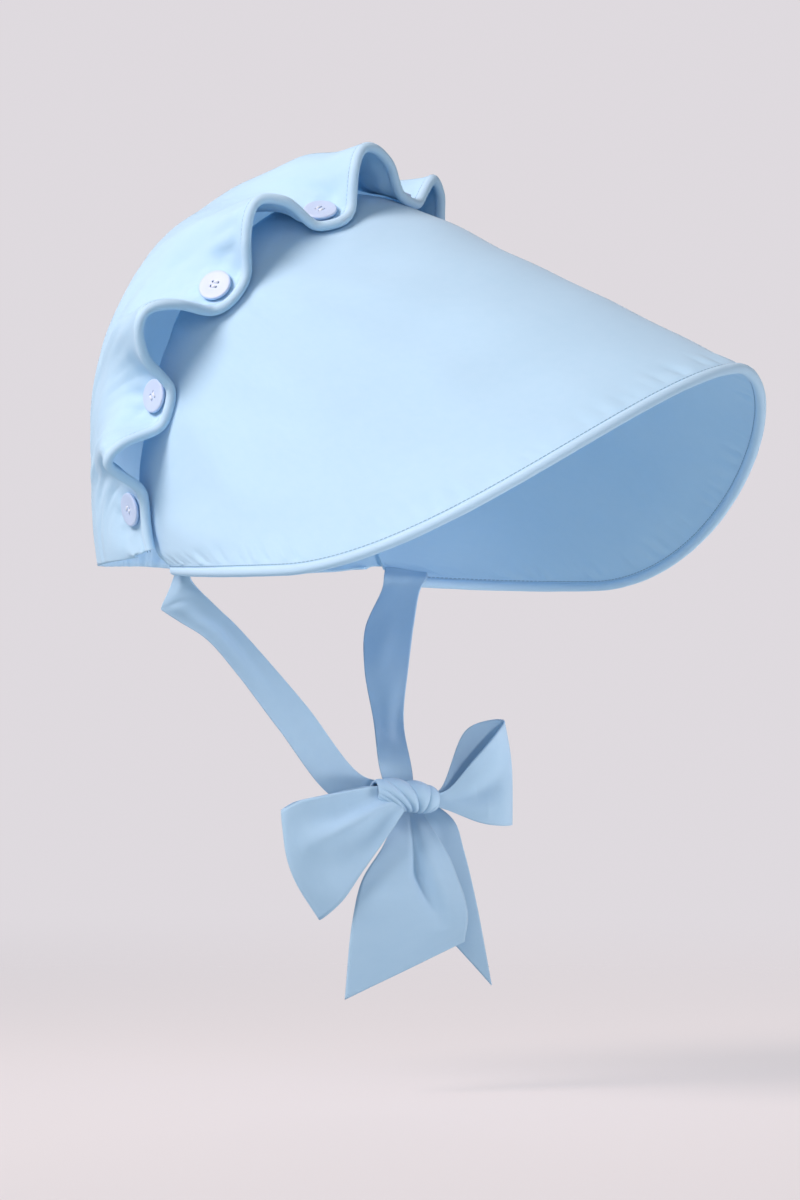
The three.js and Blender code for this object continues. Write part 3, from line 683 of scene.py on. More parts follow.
def piping_tree():
    tree, given, result = new_tree("piping", {
        "Radius": "Float", "Sides": "Int", "Unevenness": "Float", "Seed": "Float", "Cloth": "Material",
    })
    path = add_node(tree, "GeometryNodeMeshToCurve", {"Mesh": given["Geometry"]}).outputs[0]
    length = add_node(tree, "GeometryNodeSplineParameter").outputs["Length"]
    seeded = do_math(tree, "ADD", do_math(tree, "MULTIPLY", length, PIPING_NOISE_PACE), given["Seed"])
    noise = add_node(tree, "ShaderNodeTexNoise", {"W": seeded, "Scale": 1.0}, noise_dimensions="1D")
    wave = do_math(tree, "SUBTRACT", noise.outputs["Fac"], 0.5)
    radius = do_math(tree, "ADD", 1.0, do_math(tree, "MULTIPLY", wave, given["Unevenness"]))
    held = add_node(tree, "GeometryNodeCaptureAttribute", {"Geometry": path}, domain="POINT")
    held.capture_items.new("FLOAT", "Length")
    tree.links.new(length, held.inputs["Length"])
    thick = {"Curve": held.outputs["Geometry"], "Radius": radius}
    sized = add_node(tree, "GeometryNodeSetCurveRadius", thick)
    circle = {"Resolution": given["Sides"], "Radius": given["Radius"]}
    section = add_node(tree, "GeometryNodeCurvePrimitiveCircle", circle).outputs["Curve"]
    turn = add_node(tree, "GeometryNodeSplineParameter").outputs["Factor"]
    marked = add_node(tree, "GeometryNodeCaptureAttribute", {"Geometry": section}, domain="POINT")
    marked.capture_items.new("FLOAT", "Turn")
    tree.links.new(turn, marked.inputs["Turn"])
    sweep = {"Curve": sized.outputs[0], "Profile Curve": marked.outputs["Geometry"],
             "Scale": radius, "Fill Caps": True}
    tube = add_node(tree, "GeometryNodeCurveToMesh", sweep).outputs[0]
    girth = do_math(tree, "MULTIPLY", marked.outputs["Turn"], 2 * math.pi * PIPING_RADIUS * MM)
    cloth = add_node(tree, "ShaderNodeCombineXYZ", {"X": held.outputs["Length"], "Y": girth}).outputs[0]
    end_tree(tree, store_map(tree, tube, cloth), result, given["Cloth"])
    return tree


piping_rule = piping_tree()
print("the piping's tree has", len(piping_rule.nodes), "nodes")

# %% Paths for a tree to follow
PIPING_SPACING = 1.6


def path_object(name, points, normals=None):
    """A chain of points joined by edges, which a tree can follow."""
    mesh = bpy.data.meshes.new(name)
    links = [(i, i + 1) for i in range(len(points) - 1)]
    mesh.from_pydata(to_frame(points).tolist(), links, [])
    if normals is not None:
        fact = mesh.attributes.new("out", "FLOAT_VECTOR", "POINT")
        fact.data.foreach_set("vector", np.asarray(normals, float).ravel())
    return add_object(name, mesh)


def spaced(points, spacing):
    """A chain of points read again at an even spacing."""
    steps = np.linalg.norm(np.diff(points, axis=0), axis=-1)
    at = np.concatenate([[0], np.cumsum(steps)])
    wanted = np.linspace(0, at[-1], max(int(round(at[-1] / spacing)), 2) + 1)
    return np.stack([np.interp(wanted, at, points[:, axis]) for axis in range(3)], -1)


def make_piping(name, points, seed):
    path = path_object(name, spaced(points, PIPING_SPACING))
    attach(path, piping_rule, {
        "Radius": PIPING_RADIUS * MM, "Sides": PIPING_SIDES, "Unevenness": PIPING_UNEVENNESS,
        "Seed": seed, "Cloth": piping_cotton,
    })
    return settle(path, name)


print("piping is swept along points", PIPING_SPACING, "mm apart")

# %% The brim's piping
PIPING_STEP = 4e-3
BRIM_LINE_POINTS = 900
LOOK_BACK_REACH = 0.9
BRIM_PIPING_SEED = 3.0
line_shares = np.linspace(-BRIM_LAST_RIB, BRIM_LAST_RIB, BRIM_LINE_POINTS)


def brim_edge_frame(share):
    """Places on the brim's front edge, and the way out from the cloth there."""
    one = np.ones_like(share)
    here = brim_points(share, one)
    tangent = unit(brim_points(share + PIPING_STEP, one) - brim_points(share - PIPING_STEP, one))
    outward = here - brim_points(share, LOOK_BACK_REACH * one)
    outward = unit(outward - tangent * dot(outward, tangent))
    return here, outward


edge_here, edge_outward = brim_edge_frame(line_shares)
brim_piping_line = edge_here + edge_outward * (PIPING_RADIUS + PIPING_GAP)
brim_edge_piping = make_piping("brim_edge_piping", brim_piping_line, BRIM_PIPING_SEED)
print("brim piping:", len(brim_edge_piping.data.polygons), "faces")

# %% [markdown]
# ## The crown
# The crown is a soft piece gathered to the back of the head. Its front edge laps over the brim and
# ruffles up between the buttons. It is worked out as a dome that is pulled to the lap in front and to
# the hem below, with folds that rise at the front edge and die away behind. A table gives each crest
# and trough its place, height and length.

# %% The crown's measures
CROWN_WALL = 1.4
DOME_HALF_WIDTH = 114.5
DOME_DEPTH = 85
DOME_RISE = 128.5
DOME_FALL = 170
DOME_CENTER = np.array([0, 0, 70.0])
DOME_SQUARENESS = 2
HEM_HALF_WIDTH = 100
HEM_DEPTH = 89
HEM_BACK_HEIGHT = 6
HEM_SIDE_DIP = 5.3
HEM_CORNER_RISE = 8.8
HEM_CORNER_POWER = 8
HEM_SPREAD = 0.35
CROWN_LIFT = 4.6
CROWN_SETBACK = 95
CROWN_LAST_RIB = 0.945
FRONT_BLEND = 0.2
HEM_BLEND_START = 0.6
RUFFLE_CLIMB = 0.3
RUFFLE_TURN = 0.5
RUFFLE_FADE_POWER = 1.25
ARC_PER_CHORD = 1.15
SHORTEST_RIB = 12
LAP_REACHES = (-0.5, 0.9)
LAPS = [(0, 26), (0.45, 25), (0.7, 17), (0.9, 7), (1, 3)]
print("the crown is", DOME_HALF_WIDTH * 2, "mm wide")

# %% The ruffle's table
RUFFLE = [
    {"at": -0.945, "rise": 0, "ahead": 0, "run": 60},
    {"at": -0.868, "rise": 0, "ahead": 0, "run": 60},
    {"at": -0.765, "rise": 27, "ahead": -3, "run": 62},
    {"at": -0.615, "rise": 0, "ahead": 0, "run": 75},
    {"at": -0.505, "rise": 32, "ahead": -15, "run": 85},
    {"at": -0.4, "rise": 0, "ahead": 0, "run": 90},
    {"at": -0.295, "rise": 25, "ahead": -9, "run": 95},
    {"at": -0.19, "rise": 0, "ahead": 12, "run": 110},
    {"at": -0.085, "rise": 27, "ahead": -3, "run": 130},
    {"at": 0.025, "rise": 0, "ahead": 4, "run": 120},
    {"at": 0.105, "rise": 18, "ahead": -2, "run": 110},
    {"at": 0.205, "rise": 0, "ahead": 6, "run": 110},
    {"at": 0.3, "rise": 15, "ahead": -12, "run": 95},
    {"at": 0.4, "rise": 0, "ahead": 0, "run": 90},
    {"at": 0.495, "rise": 28, "ahead": -12, "run": 85},
    {"at": 0.615, "rise": 0, "ahead": 0, "run": 75},
    {"at": 0.765, "rise": 27, "ahead": -3, "run": 62},
    {"at": 0.868, "rise": 0, "ahead": 0, "run": 60},
    {"at": 0.945, "rise": 0, "ahead": 0, "run": 60},
]
RUFFLE_AT = np.array([row["at"] for row in RUFFLE])


def read_ruffle(column, at):
    """A column of the ruffle's table, with round crests and troughs."""
    values = np.array([row[column] for row in RUFFLE], float)
    i = np.clip(np.searchsorted(RUFFLE_AT, at, side="right") - 1, 0, len(RUFFLE) - 2)
    k = np.clip((at - RUFFLE_AT[i]) / (RUFFLE_AT[i + 1] - RUFFLE_AT[i]), 0, 1)
    return values[i] + (values[i + 1] - values[i]) * (1 - np.cos(np.pi * k)) / 2


crest_count = sum(1 for row in RUFFLE if row["rise"] > 0)
print("the ruffle has", crest_count, "crests")


# %% The crown's rule
def dome_points(direction):
    height = np.where(direction[..., 2] > 0, DOME_RISE, DOME_FALL)
    total = (np.abs(direction[..., 0] / DOME_HALF_WIDTH) ** DOME_SQUARENESS
             + np.maximum(direction[..., 1] / DOME_DEPTH, 0) ** DOME_SQUARENESS
             + np.abs(direction[..., 2] / height) ** DOME_SQUARENESS)
    return DOME_CENTER + direction * (total ** (-1 / DOME_SQUARENESS))[..., None]


def lap_points(share, ahead):
    """Where the crown's front edge lies when it is pressed on the brim, and the way out there."""
    back, front = rib_ends(share)
    lap = read_table(LAPS, np.abs(share)) + ahead
    rib = np.maximum(np.linalg.norm(front - back, axis=-1), SHORTEST_RIB)
    reach = np.clip(lap / rib, *LAP_REACHES)
    out = brim_normals(share, reach)
    return brim_points(share, reach) + out * CROWN_LIFT, out


def hem_points(share):
    angle = np.pi / 2 * (HEM_SPREAD * share + (1 - HEM_SPREAD) * share ** 3)
    z = HEM_BACK_HEIGHT - HEM_SIDE_DIP * share ** 2 + HEM_CORNER_RISE * share ** HEM_CORNER_POWER
    return np.stack([HEM_HALF_WIDTH * np.sin(angle), HEM_DEPTH * np.cos(angle), z], -1)


print("the hem's middle:", hem_points(np.array([0.0]))[0].round(1), "mm")


# %% The ruffled crown
def ruffled_points(share, back):
    """Points of the crown with no buttons, by share of the arch and of the way to the hem."""
    front, out = lap_points(share, read_ruffle("ahead", share))
    hem = hem_points(share)
    middle = front.copy()
    middle[..., 1] += CROWN_SETBACK * (1 - np.abs(share) ** 3)
    to_front, to_middle, to_hem = (unit(place - DOME_CENTER) for place in (front, middle, hem))
    k = back[..., None]
    first = to_front + (to_middle - to_front) * k
    second = to_middle + (to_hem - to_middle) * k
    direction = unit(first + (second - first) * k)
    near_front = (1 - smoothstep(back, 0, FRONT_BLEND))[..., None]
    near_hem = (np.maximum((back - HEM_BLEND_START) / (1 - HEM_BLEND_START), 0) ** 2)[..., None]
    point = dome_points(direction)
    point = point + (front - dome_points(to_front)) * near_front
    point = point + (hem - dome_points(to_hem)) * near_hem
    climbed = share * (1 + RUFFLE_CLIMB * back)
    chord = np.linalg.norm(front - hem, axis=-1)
    fade_out = np.minimum(read_ruffle("run", climbed) / (ARC_PER_CHORD * chord + 1), 1)
    rise = read_ruffle("rise", climbed) * np.maximum(1 - back / fade_out, 0) ** RUFFLE_FADE_POWER
    turn = smoothstep(back, 0, RUFFLE_TURN)[..., None]
    return point + unit(out + (direction - out) * turn) * rise[..., None]


print("the crown's top:", ruffled_points(np.zeros(1), np.full(1, 0.3))[0].round(1), "mm")

# %% Button seats
BUTTON_SETBACK = 9
BUTTON_CLIMB = 1.02
SEAT_FLAT_RADIUS = 6
SEAT_FADE_RADIUS = 24
LOW_SEAT_FADE_RADIUS = 44
LOW_SEAT_START = 0.8
CORNER_DROP = 3
CORNER_DROP_START = 0.85
BUTTON_TROUGHS = [row for row in RUFFLE if row["rise"] == 0][1:-1]

trough_at = np.array([row["at"] for row in BUTTON_TROUGHS])
trough_ahead = np.array([row["ahead"] for row in BUTTON_TROUGHS], float)
seat_places, seat_outs = lap_points(trough_at * BUTTON_CLIMB, trough_ahead - BUTTON_SETBACK)
seat_fades = np.where(np.abs(trough_at) > LOW_SEAT_START, LOW_SEAT_FADE_RADIUS, SEAT_FADE_RADIUS)


def crown_points(share, back):
    """Points of the crown, pressed flat under each button and hanging a little at its front corners."""
    share, back = np.broadcast_arrays(share, back)
    point = ruffled_points(share, back)
    for center, out, fade in zip(seat_places, seat_outs, seat_fades):
        away = point - center
        height = dot(away, out)
        aside = np.linalg.norm(away - out * height, axis=-1, keepdims=True)
        flat = 1 - smoothstep(aside, SEAT_FLAT_RADIUS, fade)
        low = 1 - smoothstep(np.abs(height), SEAT_FLAT_RADIUS, fade)
        point = point - out * (flat * low * height)
    hang = CORNER_DROP * smoothstep(np.abs(share), CORNER_DROP_START, CROWN_LAST_RIB) * (1 - back ** 2)
    return point - np.array([0, 0, 1.0]) * hang[..., None]


print("button seats:", len(seat_places))

# %% [markdown]
# ## Soft forms on the crown
# The crown's rule is read as a fine grid, and soft forms are then pressed into it along its own
# directions: short gathers from the sewn edge, slow slack behind them, a ridge that runs back from
# each crest, and small rays where a button draws the cloth in. Each fades in over a stated distance,
# so the edge that the piping follows stays where the rule puts it.

# %% The crown's plain grid
CROWN_STEPS = 22
CROWN_ROWS = 92
CROWN_ROW_EASE = 1.5

between_rows = [
    np.linspace(low, high, CROWN_STEPS, endpoint=False) for low, high in zip(RUFFLE_AT, RUFFLE_AT[1:])
]
crown_shares = np.concatenate(between_rows + [RUFFLE_AT[-1:]])
crown_backs = np.linspace(0, 1, CROWN_ROWS) ** CROWN_ROW_EASE
crown_grid = crown_points(crown_shares[None, :], crown_backs[:, None])


def crown_edge_outward(share):
    """Places on the crown's front edge, and the way that it faces there, square to the edge."""
    here = crown_points(share, np.zeros_like(share))
    ahead = crown_points(share + PIPING_STEP, np.zeros_like(share))
    behind = crown_points(share - PIPING_STEP, np.zeros_like(share))
    tangent = unit(ahead - behind)
    rib_start, rib_end = rib_ends(share)
    outward = rib_end - rib_start
    return here, unit(outward - tangent * dot(outward, tangent))


edge_row, edge_way = crown_edge_outward(crown_shares)
edge_steps = np.linalg.norm(np.diff(edge_row, axis=0), axis=-1)
edge_run = np.concatenate([[0], np.cumsum(edge_steps)])[None, :]
back_steps = np.linalg.norm(np.diff(crown_grid, axis=0), axis=-1)
back_run = np.concatenate([np.zeros((1, crown_grid.shape[1])), np.cumsum(back_steps, axis=0)])
print("the crown's front edge is", round(float(edge_run[0, -1])), "mm long")

# %% Gathers, slack and ridges
GATHER_DEPTH = 1.3
GATHER_PITCH = 14
GATHER_LENGTH = 42
GATHER_START = (0, 8)
GATHER_SEED = 21
SIDE_CALM = 0.75
SIDE_SHARES = (0.76, 0.87)
SLACK_DEPTH = 0.8
SLACK_SIZE = 42
SLACK_START = (0, 40)
SLACK_SEED = 22
RIDGE_HEIGHT = 2
RIDGE_WIDTH = 13
RIDGE_START = (12, 45)
RIDGE_END = (60, 120)
MM_PER_SHARE = 290

gather = GATHER_DEPTH * soft_noise(edge_run / GATHER_PITCH, back_run / GATHER_LENGTH, GATHER_SEED)
gather = gather * np.exp(-back_run / GATHER_LENGTH) * smoothstep(back_run, *GATHER_START)
gather = gather * (1 - SIDE_CALM * smoothstep(np.abs(crown_shares), *SIDE_SHARES)[None, :])
slack = SLACK_DEPTH * soft_noise(edge_run / SLACK_SIZE, back_run / SLACK_SIZE, SLACK_SEED)
slack = slack * smoothstep(back_run, *SLACK_START)
climbed = crown_shares[None, :] * (1 + RUFFLE_CLIMB * crown_backs[:, None])
ridge = np.zeros(crown_grid.shape[:2])
for row in RUFFLE:
    beside = (climbed - row["at"]) * MM_PER_SHARE / RIDGE_WIDTH
    ridge = ridge + np.sign(row["rise"]) * RIDGE_HEIGHT * np.exp(-beside ** 2)
ridge = ridge * smoothstep(back_run, *RIDGE_START) * (1 - smoothstep(back_run, *RIDGE_END))
for label, depth in (("gathers", gather), ("slack", slack), ("ridges", ridge)):
    print(label, "of up to", round(float(np.abs(depth).max()), 1), "mm")

# %% The crown's cloth, with rays round the buttons
RAY_RADIUS = 14
RAY_WIDTH = 4
RAY_DEPTH = 0.6
RAY_COUNT = 7
RAY_TURN = 1.7
RAY_FIRST_WAY = (0.3, 0.2, 1.0)
SEAT_CALM = (10, 20)

calm = np.ones(crown_grid.shape[:2])
rays = np.zeros(crown_grid.shape[:2])
for i, (center, out) in enumerate(zip(seat_places, seat_outs)):
    away = crown_grid - center
    radius = np.linalg.norm(away, axis=-1)
    first = unit(np.cross(out, RAY_FIRST_WAY))
    turn = np.arctan2(dot(away, np.cross(out, first))[..., 0], dot(away, first)[..., 0])
    ring = np.exp(-((radius - RAY_RADIUS) / RAY_WIDTH) ** 2)
    depth = RAY_DEPTH * SEAT_FADE_RADIUS / seat_fades[i]
    rays = rays + depth * np.sin(RAY_COUNT * turn + RAY_TURN * i + np.sin(2 * turn)) * ring
    calm = calm * smoothstep(radius, *SEAT_CALM)
crown_grid = crown_grid + grid_normals(crown_grid) * ((gather + slack + ridge) * calm + rays)[..., None]
crown_grid = np.concatenate([(edge_row + edge_way * EDGE_TUCK)[None], crown_grid])
crown_cloth = thicken(grid_object("crown_cloth", crown_grid), CROWN_WALL)
crown_cloth.data.materials.append(sky_cotton)
print("crown:", len(crown_cloth.data.polygons), "faces")

# %% The crown's piping
RUFFLE_LINE_POINTS = 1400
CROWN_PIPING_SEED = 8.0
ruffle_shares = np.linspace(-CROWN_LAST_RIB, CROWN_LAST_RIB, RUFFLE_LINE_POINTS)
ruffle_here, ruffle_way = crown_edge_outward(ruffle_shares)
crown_piping_line = ruffle_here + ruffle_way * (PIPING_RADIUS + PIPING_GAP)
crown_edge_piping = make_piping("crown_edge_piping", crown_piping_line, CROWN_PIPING_SEED)
print("crown piping:", len(crown_edge_piping.data.polygons), "faces")

# %% [markdown]
# ## Buttons
# Each button is a small moulded disc with a round rim, a slightly dished face, four holes and a few
# turns of pale thread. One is turned on a profile like a bowl on a lathe, drilled with a boolean, and
# set on each seat along the cloth's outward direction.

# %% Turn a disc
BUTTON_SIDES = 72
BUTTON_PROFILE = [
    (0.0, 0.0), (7.4, 0.0), (8.2, 0.3), (8.45, 0.8), (8.5, 1.3), (8.4, 1.75), (8.1, 2.05), (7.6, 2.18),
    (7.0, 2.2), (4.6, 2.14), (3.4, 2.02), (0.0, 1.98),
]


def turned_disc(profile, sides):
    """A lathed solid round Z from rows of radius and height, with a point at both ends."""
    solid = bmesh.new()
    bottom = solid.verts.new((0, 0, profile[0][1]))
    top = solid.verts.new((0, 0, profile[-1][1]))
    rings = []
    turns = [2 * math.pi * i / sides for i in range(sides)]
    for radius, height in profile[1:-1]:
        places = [(radius * math.cos(a), radius * math.sin(a), height) for a in turns]
        rings.append([solid.verts.new(place) for place in places])
    for i in range(sides):
        j = (i + 1) % sides
        solid.faces.new((bottom, rings[0][j], rings[0][i]))
        solid.faces.new((top, rings[-1][i], rings[-1][j]))
        for low, high in zip(rings, rings[1:]):
            solid.faces.new((low[i], low[j], high[j], high[i]))
    return solid


def mesh_of(solid, name):
    mesh = bpy.data.meshes.new(name)
    solid.to_mesh(mesh)
    solid.free()
    return mesh


blank_mesh = mesh_of(turned_disc(BUTTON_PROFILE, BUTTON_SIDES), "button_blank")
print("the plain disc has", len(blank_mesh.polygons), "faces")

# %% Drill it
BUTTON_THICKNESS = 2.2
BUTTON_HOLE_RADIUS = 0.75
BUTTON_HOLE_SPACING = 1.35
DRILL_SIDES = 16

drills = bmesh.new()
for sx, sy in ((1, 1), (-1, 1), (-1, -1), (1, -1)):
    spot = Matrix.Translation((sx * BUTTON_HOLE_SPACING, sy * BUTTON_HOLE_SPACING, BUTTON_THICKNESS / 2))
    bmesh.ops.create_cone(drills, cap_ends=True, segments=DRILL_SIDES, radius1=BUTTON_HOLE_RADIUS,
                          radius2=BUTTON_HOLE_RADIUS, depth=3 * BUTTON_THICKNESS, matrix=spot)
drill_object = add_object("button_drills", mesh_of(drills, "button_drills"))
blank = add_object("button_blank", blank_mesh)
drilled = blank.modifiers.new("holes", "BOOLEAN")
drilled.object = drill_object
drilled.solver = "EXACT"
drilled.operation = "DIFFERENCE"
button_blank = settle(blank, "button_blank")
bpy.data.objects.remove(drill_object)
print("a button has", len(button_blank.data.polygons), "faces")

# %% Button finish
CLOUD = {"Scale": 180.0, "Detail": 3.0}
TWIST = {"Scale": 900.0, "Distortion": 1.0}


def mottled(name, kind, pattern, colors, roughness):
    """A plain finish between two colours, mixed by a fine pattern."""
    material, tree, shader = new_material(name)
    place = add_node(tree, "ShaderNodeTexCoord").outputs["Object"]
    share = add_node(tree, kind, {"Vector": place, **pattern}).outputs["Fac"]
    mixed = add_node(tree, "ShaderNodeMix", {"Factor": share}, data_type="RGBA")
    for socket, color in zip(("A", "B"), colors):
        mixed.inputs[socket].default_value = (*color, 1)
    tree.links.new(mixed.outputs["Result"], shader.inputs["Base Color"])
    shader.inputs["Roughness"].default_value = roughness
    return material


button_colors = ((0.42, 0.615, 0.88), (0.45, 0.64, 0.90))
button_plastic = mottled("lilac_button", "ShaderNodeTexNoise", CLOUD, button_colors, 0.5)
thread_colors = ((0.56, 0.72, 0.88), (0.64, 0.80, 0.94))
thread_white = mottled("white_thread", "ShaderNodeTexWave", TWIST, thread_colors, 0.7)
print("button finishes:", button_plastic.name, thread_white.name)

# %% A turn of thread
THREAD_RADIUS = 0.36


def thread_loop(start, end, peak, sides=8, steps=9):
    """One short turn of thread that rises out of a hole and goes down another."""
    start, end = np.array(start, float), np.array(end, float)
    k = np.linspace(0, 1, steps)[:, None]
    spine = start + (end - start) * k
    spine[:, 2] += peak * (1 - (2 * k[:, 0] - 1) ** 4)
    way = unit(np.gradient(spine, axis=0))
    side = unit(np.cross(way, (0, 0, 1)))
    up = np.cross(side, way)
    turns = np.linspace(0, 2 * np.pi, sides, endpoint=False)
    ring = np.cos(turns)[None, :, None] * side[:, None] + np.sin(turns)[None, :, None] * up[:, None]
    return spine[:, None] + ring * THREAD_RADIUS


def tube_faces(count, sides, first):
    faces = []
    for r in range(count - 1):
        for c in range(sides):
            n = (c + 1) % sides
            a, b = first + r * sides, first + (r + 1) * sides
            faces.append((a + c, a + n, b + n, b + c))
    faces.append(tuple(first + c for c in reversed(range(sides))))
    faces.append(tuple(first + (count - 1) * sides + c for c in range(sides)))
    return faces


print("a turn of thread is", THREAD_RADIUS * 2, "mm thick")

# %% Thread through the holes
THREAD_OFFSET = 0.34
THREAD_START = 1.1
THREAD_RISE = 1.1


def button_thread():
    """Two pairs of turns, each pair between two holes."""
    h = BUTTON_HOLE_SPACING
    points, faces = [], []
    for sx in (1, -1):
        for offset in (-THREAD_OFFSET, THREAD_OFFSET):
            x = sx * h + offset
            tube = thread_loop((x, -h, THREAD_START), (x, h, THREAD_START), THREAD_RISE)
            faces += tube_faces(tube.shape[0], tube.shape[1], len(points))
            points += tube.reshape(-1, 3).tolist()
    return points, faces


thread_points, thread_faces = button_thread()
print("thread on a button:", len(thread_faces), "faces")

# %% Sew the buttons on
BUTTON_STANDOFF = 0.9
BUTTON_SPIN_START = 0.5
BUTTON_SPIN_STEP = 1.3
SHARP_ANGLE = math.radians(45)

button_pieces = []
thread_pieces = []
for i, (center, out) in enumerate(zip(seat_places, seat_outs)):
    turn = Vector((0, 0, 1)).rotation_difference(Vector(out)).to_matrix().to_4x4()
    spin = Matrix.Rotation(BUTTON_SPIN_START + BUTTON_SPIN_STEP * i, 4, "Z")
    stand = Vector(to_frame(center + out * (CROWN_WALL / 2 + BUTTON_STANDOFF)))
    seat = Matrix.Translation(stand) @ turn @ spin @ Matrix.Scale(MM, 4)
    disc_mesh = button_blank.data.copy()
    disc_mesh.transform(seat)
    disc_mesh.materials.clear()
    disc_mesh.materials.append(button_plastic)
    disc_mesh.shade_smooth()
    disc_mesh.set_sharp_from_angle(angle=SHARP_ANGLE)
    button_pieces.append(add_object(f"button_disc_{i + 1}", disc_mesh))
    thread_mesh = bpy.data.meshes.new(f"button_thread_{i + 1}")
    thread_mesh.from_pydata(thread_points, [], thread_faces)
    thread_mesh.transform(seat)
    thread_mesh.materials.append(thread_white)
    thread_mesh.shade_smooth()
    thread_pieces.append(add_object(f"button_thread_{i + 1}", thread_mesh))
bpy.data.objects.remove(button_blank)
print("buttons sewn on:", len(button_pieces))

# %% [markdown]
# ## Ties
# Each tie is a long flat strip sewn inside a lower corner of the brim. The two are tied in a bow in
# front, so each runs down to the knot, behind it and on as a tail. A strip is ruled between two
# smooth edge lines whose points are tabled as pairs, and folds are pressed into it along its length.

# %% Smooth lines
def smooth_line(points, at):
    """A smooth curve through points, read at shares from 0 to 1, with no overshoot at uneven steps."""
    points = np.asarray(points, float)
    padded = np.concatenate([[2 * points[0] - points[1]], points, [2 * points[-1] - points[-2]]])
    place = np.clip(at, 0, 1) * (len(points) - 1)
    i = np.minimum(place.astype(int), len(points) - 2)
    k = (place - i)[:, None]
    p0, p1, p2, p3 = (padded[i + j] for j in range(4))
    pairs = ((p0, p1), (p1, p2), (p2, p3))
    d0, d1, d2 = (np.sqrt(np.linalg.norm(b - a, axis=-1))[:, None] for a, b in pairs)
    leave = ((p1 - p0) / d0 - (p2 - p0) / (d0 + d1) + (p2 - p1) / d1) * d1
    reach = ((p2 - p1) / d1 - (p3 - p1) / (d1 + d2) + (p3 - p2) / d2) * d1
    c2 = -3 * p1 + 3 * p2 - 2 * leave - reach
    c3 = 2 * p1 - 2 * p2 + leave + reach
    return p1 + leave * k + c2 * k ** 2 + c3 * k ** 3


quarter_way = smooth_line([(0, 0, 0), (1, 1, 0), (2, 0, 0)], np.array([0.25]))[0]
print("a smooth line a quarter of the way along:", quarter_way.round(2))

# %% Ruled strips
FINE_STEPS = 8


def strip_grid(rows, steps, columns, belly=(0, 0, 0)):
    """A strip of cloth between an upper and a lower edge line, in even steps along its middle."""
    uppers = [row[0] for row in rows]
    lowers = [row[1] for row in rows]
    fine = np.linspace(0, 1, FINE_STEPS * steps)
    middle = (smooth_line(uppers, fine) + smooth_line(lowers, fine)) / 2
    run = np.concatenate([[0], np.cumsum(np.linalg.norm(np.diff(middle, axis=0), axis=-1))])
    along = np.interp(np.linspace(0, run[-1], steps), run, fine)
    upper = smooth_line(uppers, along)
    lower = smooth_line(lowers, along)
    across = np.linspace(0, 1, columns)
    grid = upper[:, None] + (lower - upper)[:, None] * across[None, :, None]
    bulge = np.sin(np.pi * along)[:, None] * np.sin(np.pi * across)[None, :]
    return grid + bulge[..., None] * np.asarray(belly, float), along[:, None], across[None, :]


KNOT_CENTER = np.array([-3, -80, -113.5])
BOW_FACING = math.radians(-35)
bow_side = np.array([math.cos(BOW_FACING), math.sin(BOW_FACING), 0])
bow_front = np.array([math.sin(BOW_FACING), -math.cos(BOW_FACING), 0])


def bow_places(rows):
    """Rows of side, front and up from the knot, as places."""
    up = np.array([0, 0, 1.0])
    return [[KNOT_CENTER + bow_side * s + bow_front * f + up * u for s, f, u in row] for row in rows]


print("the bow faces", round(math.degrees(BOW_FACING)), "degrees from the front")

# %% The ties' tables
RIGHT_STRAP = [
    [(-101.5, -21.5, 0.5), (-89.5, -2, 1.5)],
    [(-95, -13.5, -4.5), (-91.4, -1.1, -4.5)],
    [(-90, -12.6, -8), (-94, 0.8, -12)],
    [(-86.7, -13.9, -11), (-96.1, 3, -18.5)],
    [(-85.3, -14.5, -12.3), (-96.4, 3.4, -20.2)],
    [(-83.2, -15.4, -14), (-95, 1.9, -21.7)],
    [(-78.6, -17.6, -18.5), (-89.5, -2.9, -26.3)],
    [(-70.6, -20.4, -25), (-79.7, -12.4, -35)],
    [(-57, -30, -42), (-66, -22, -53)],
    [(-38, -44, -68), (-48, -34, -80)],
]
RIGHT_TAIL = [
    [(-20, -12, 11), (-34, -12, -1)],
    [(-4, -14, 6), (-9, -14, -7)],
    [(16, -14, -2), (9, -14, -13)],
    [(31, -12, -13), (14, -13, -20)],
    [(36, -11, -28), (11, -12, -31)],
    [(42, -9, -54), (8, -10, -42)],
    [(50, -8, -97), (6, -9, -50)],
]
LEFT_STRAP = [
    [(101.5, -21.5, 0.5), (89.5, -2, 1.5)],
    [(97, -20.5, -5), (88, -2, -5)],
    [(83, -26, -24), (70, -4, -26)],
    [(62, -37, -48), (49, -18, -48)],
    [(39, -50, -74), (30, -37, -74)],
]
LEFT_TAIL = [
    [(8, -11.6, 13), (-9, -11.8, 14)],
    [(10, -11.8, 0), (-5, -11.8, 0)],
    [(14, -11, -10), (-2, -11, -11)],
    [(18.5, -1, -21.5), (-11, -1, -25)],
    [(25.5, 4, -38), (-24, 4, -42)],
    [(31.5, 6, -60), (-30, 6, -62)],
    [(30, 6, -74), (-34, 6, -102)],
]
print("strap rows:", len(RIGHT_STRAP), len(LEFT_STRAP))
print("tail rows:", len(RIGHT_TAIL), len(LEFT_TAIL))

# %% The ties' sewn ends
TIE_WALL = 1.1
SEWN_GAP = 0.35
SEWN_END = ((0.945, 0.9), (0.985, 0.1))


def sewn_row(hand):
    """The tie's sewn end, just inside the brim."""
    places = []
    for share, reach in SEWN_END:
        where = np.array([hand * share])
        inward = -(BRIM_WALL + TIE_WALL) / 2 - SEWN_GAP
        normal = brim_normals(where, np.array([reach]))[0]
        places.append(brim_points(where, np.array([reach]))[0] + normal * inward)
    return places


def tie_rows(hand, strap, tail):
    """A tie's rows, from its sewn end down the strap and on behind the knot."""
    hung = [[np.array(place, float) for place in row] for row in strap]
    return [sewn_row(hand)] + hung + bow_places(tail)


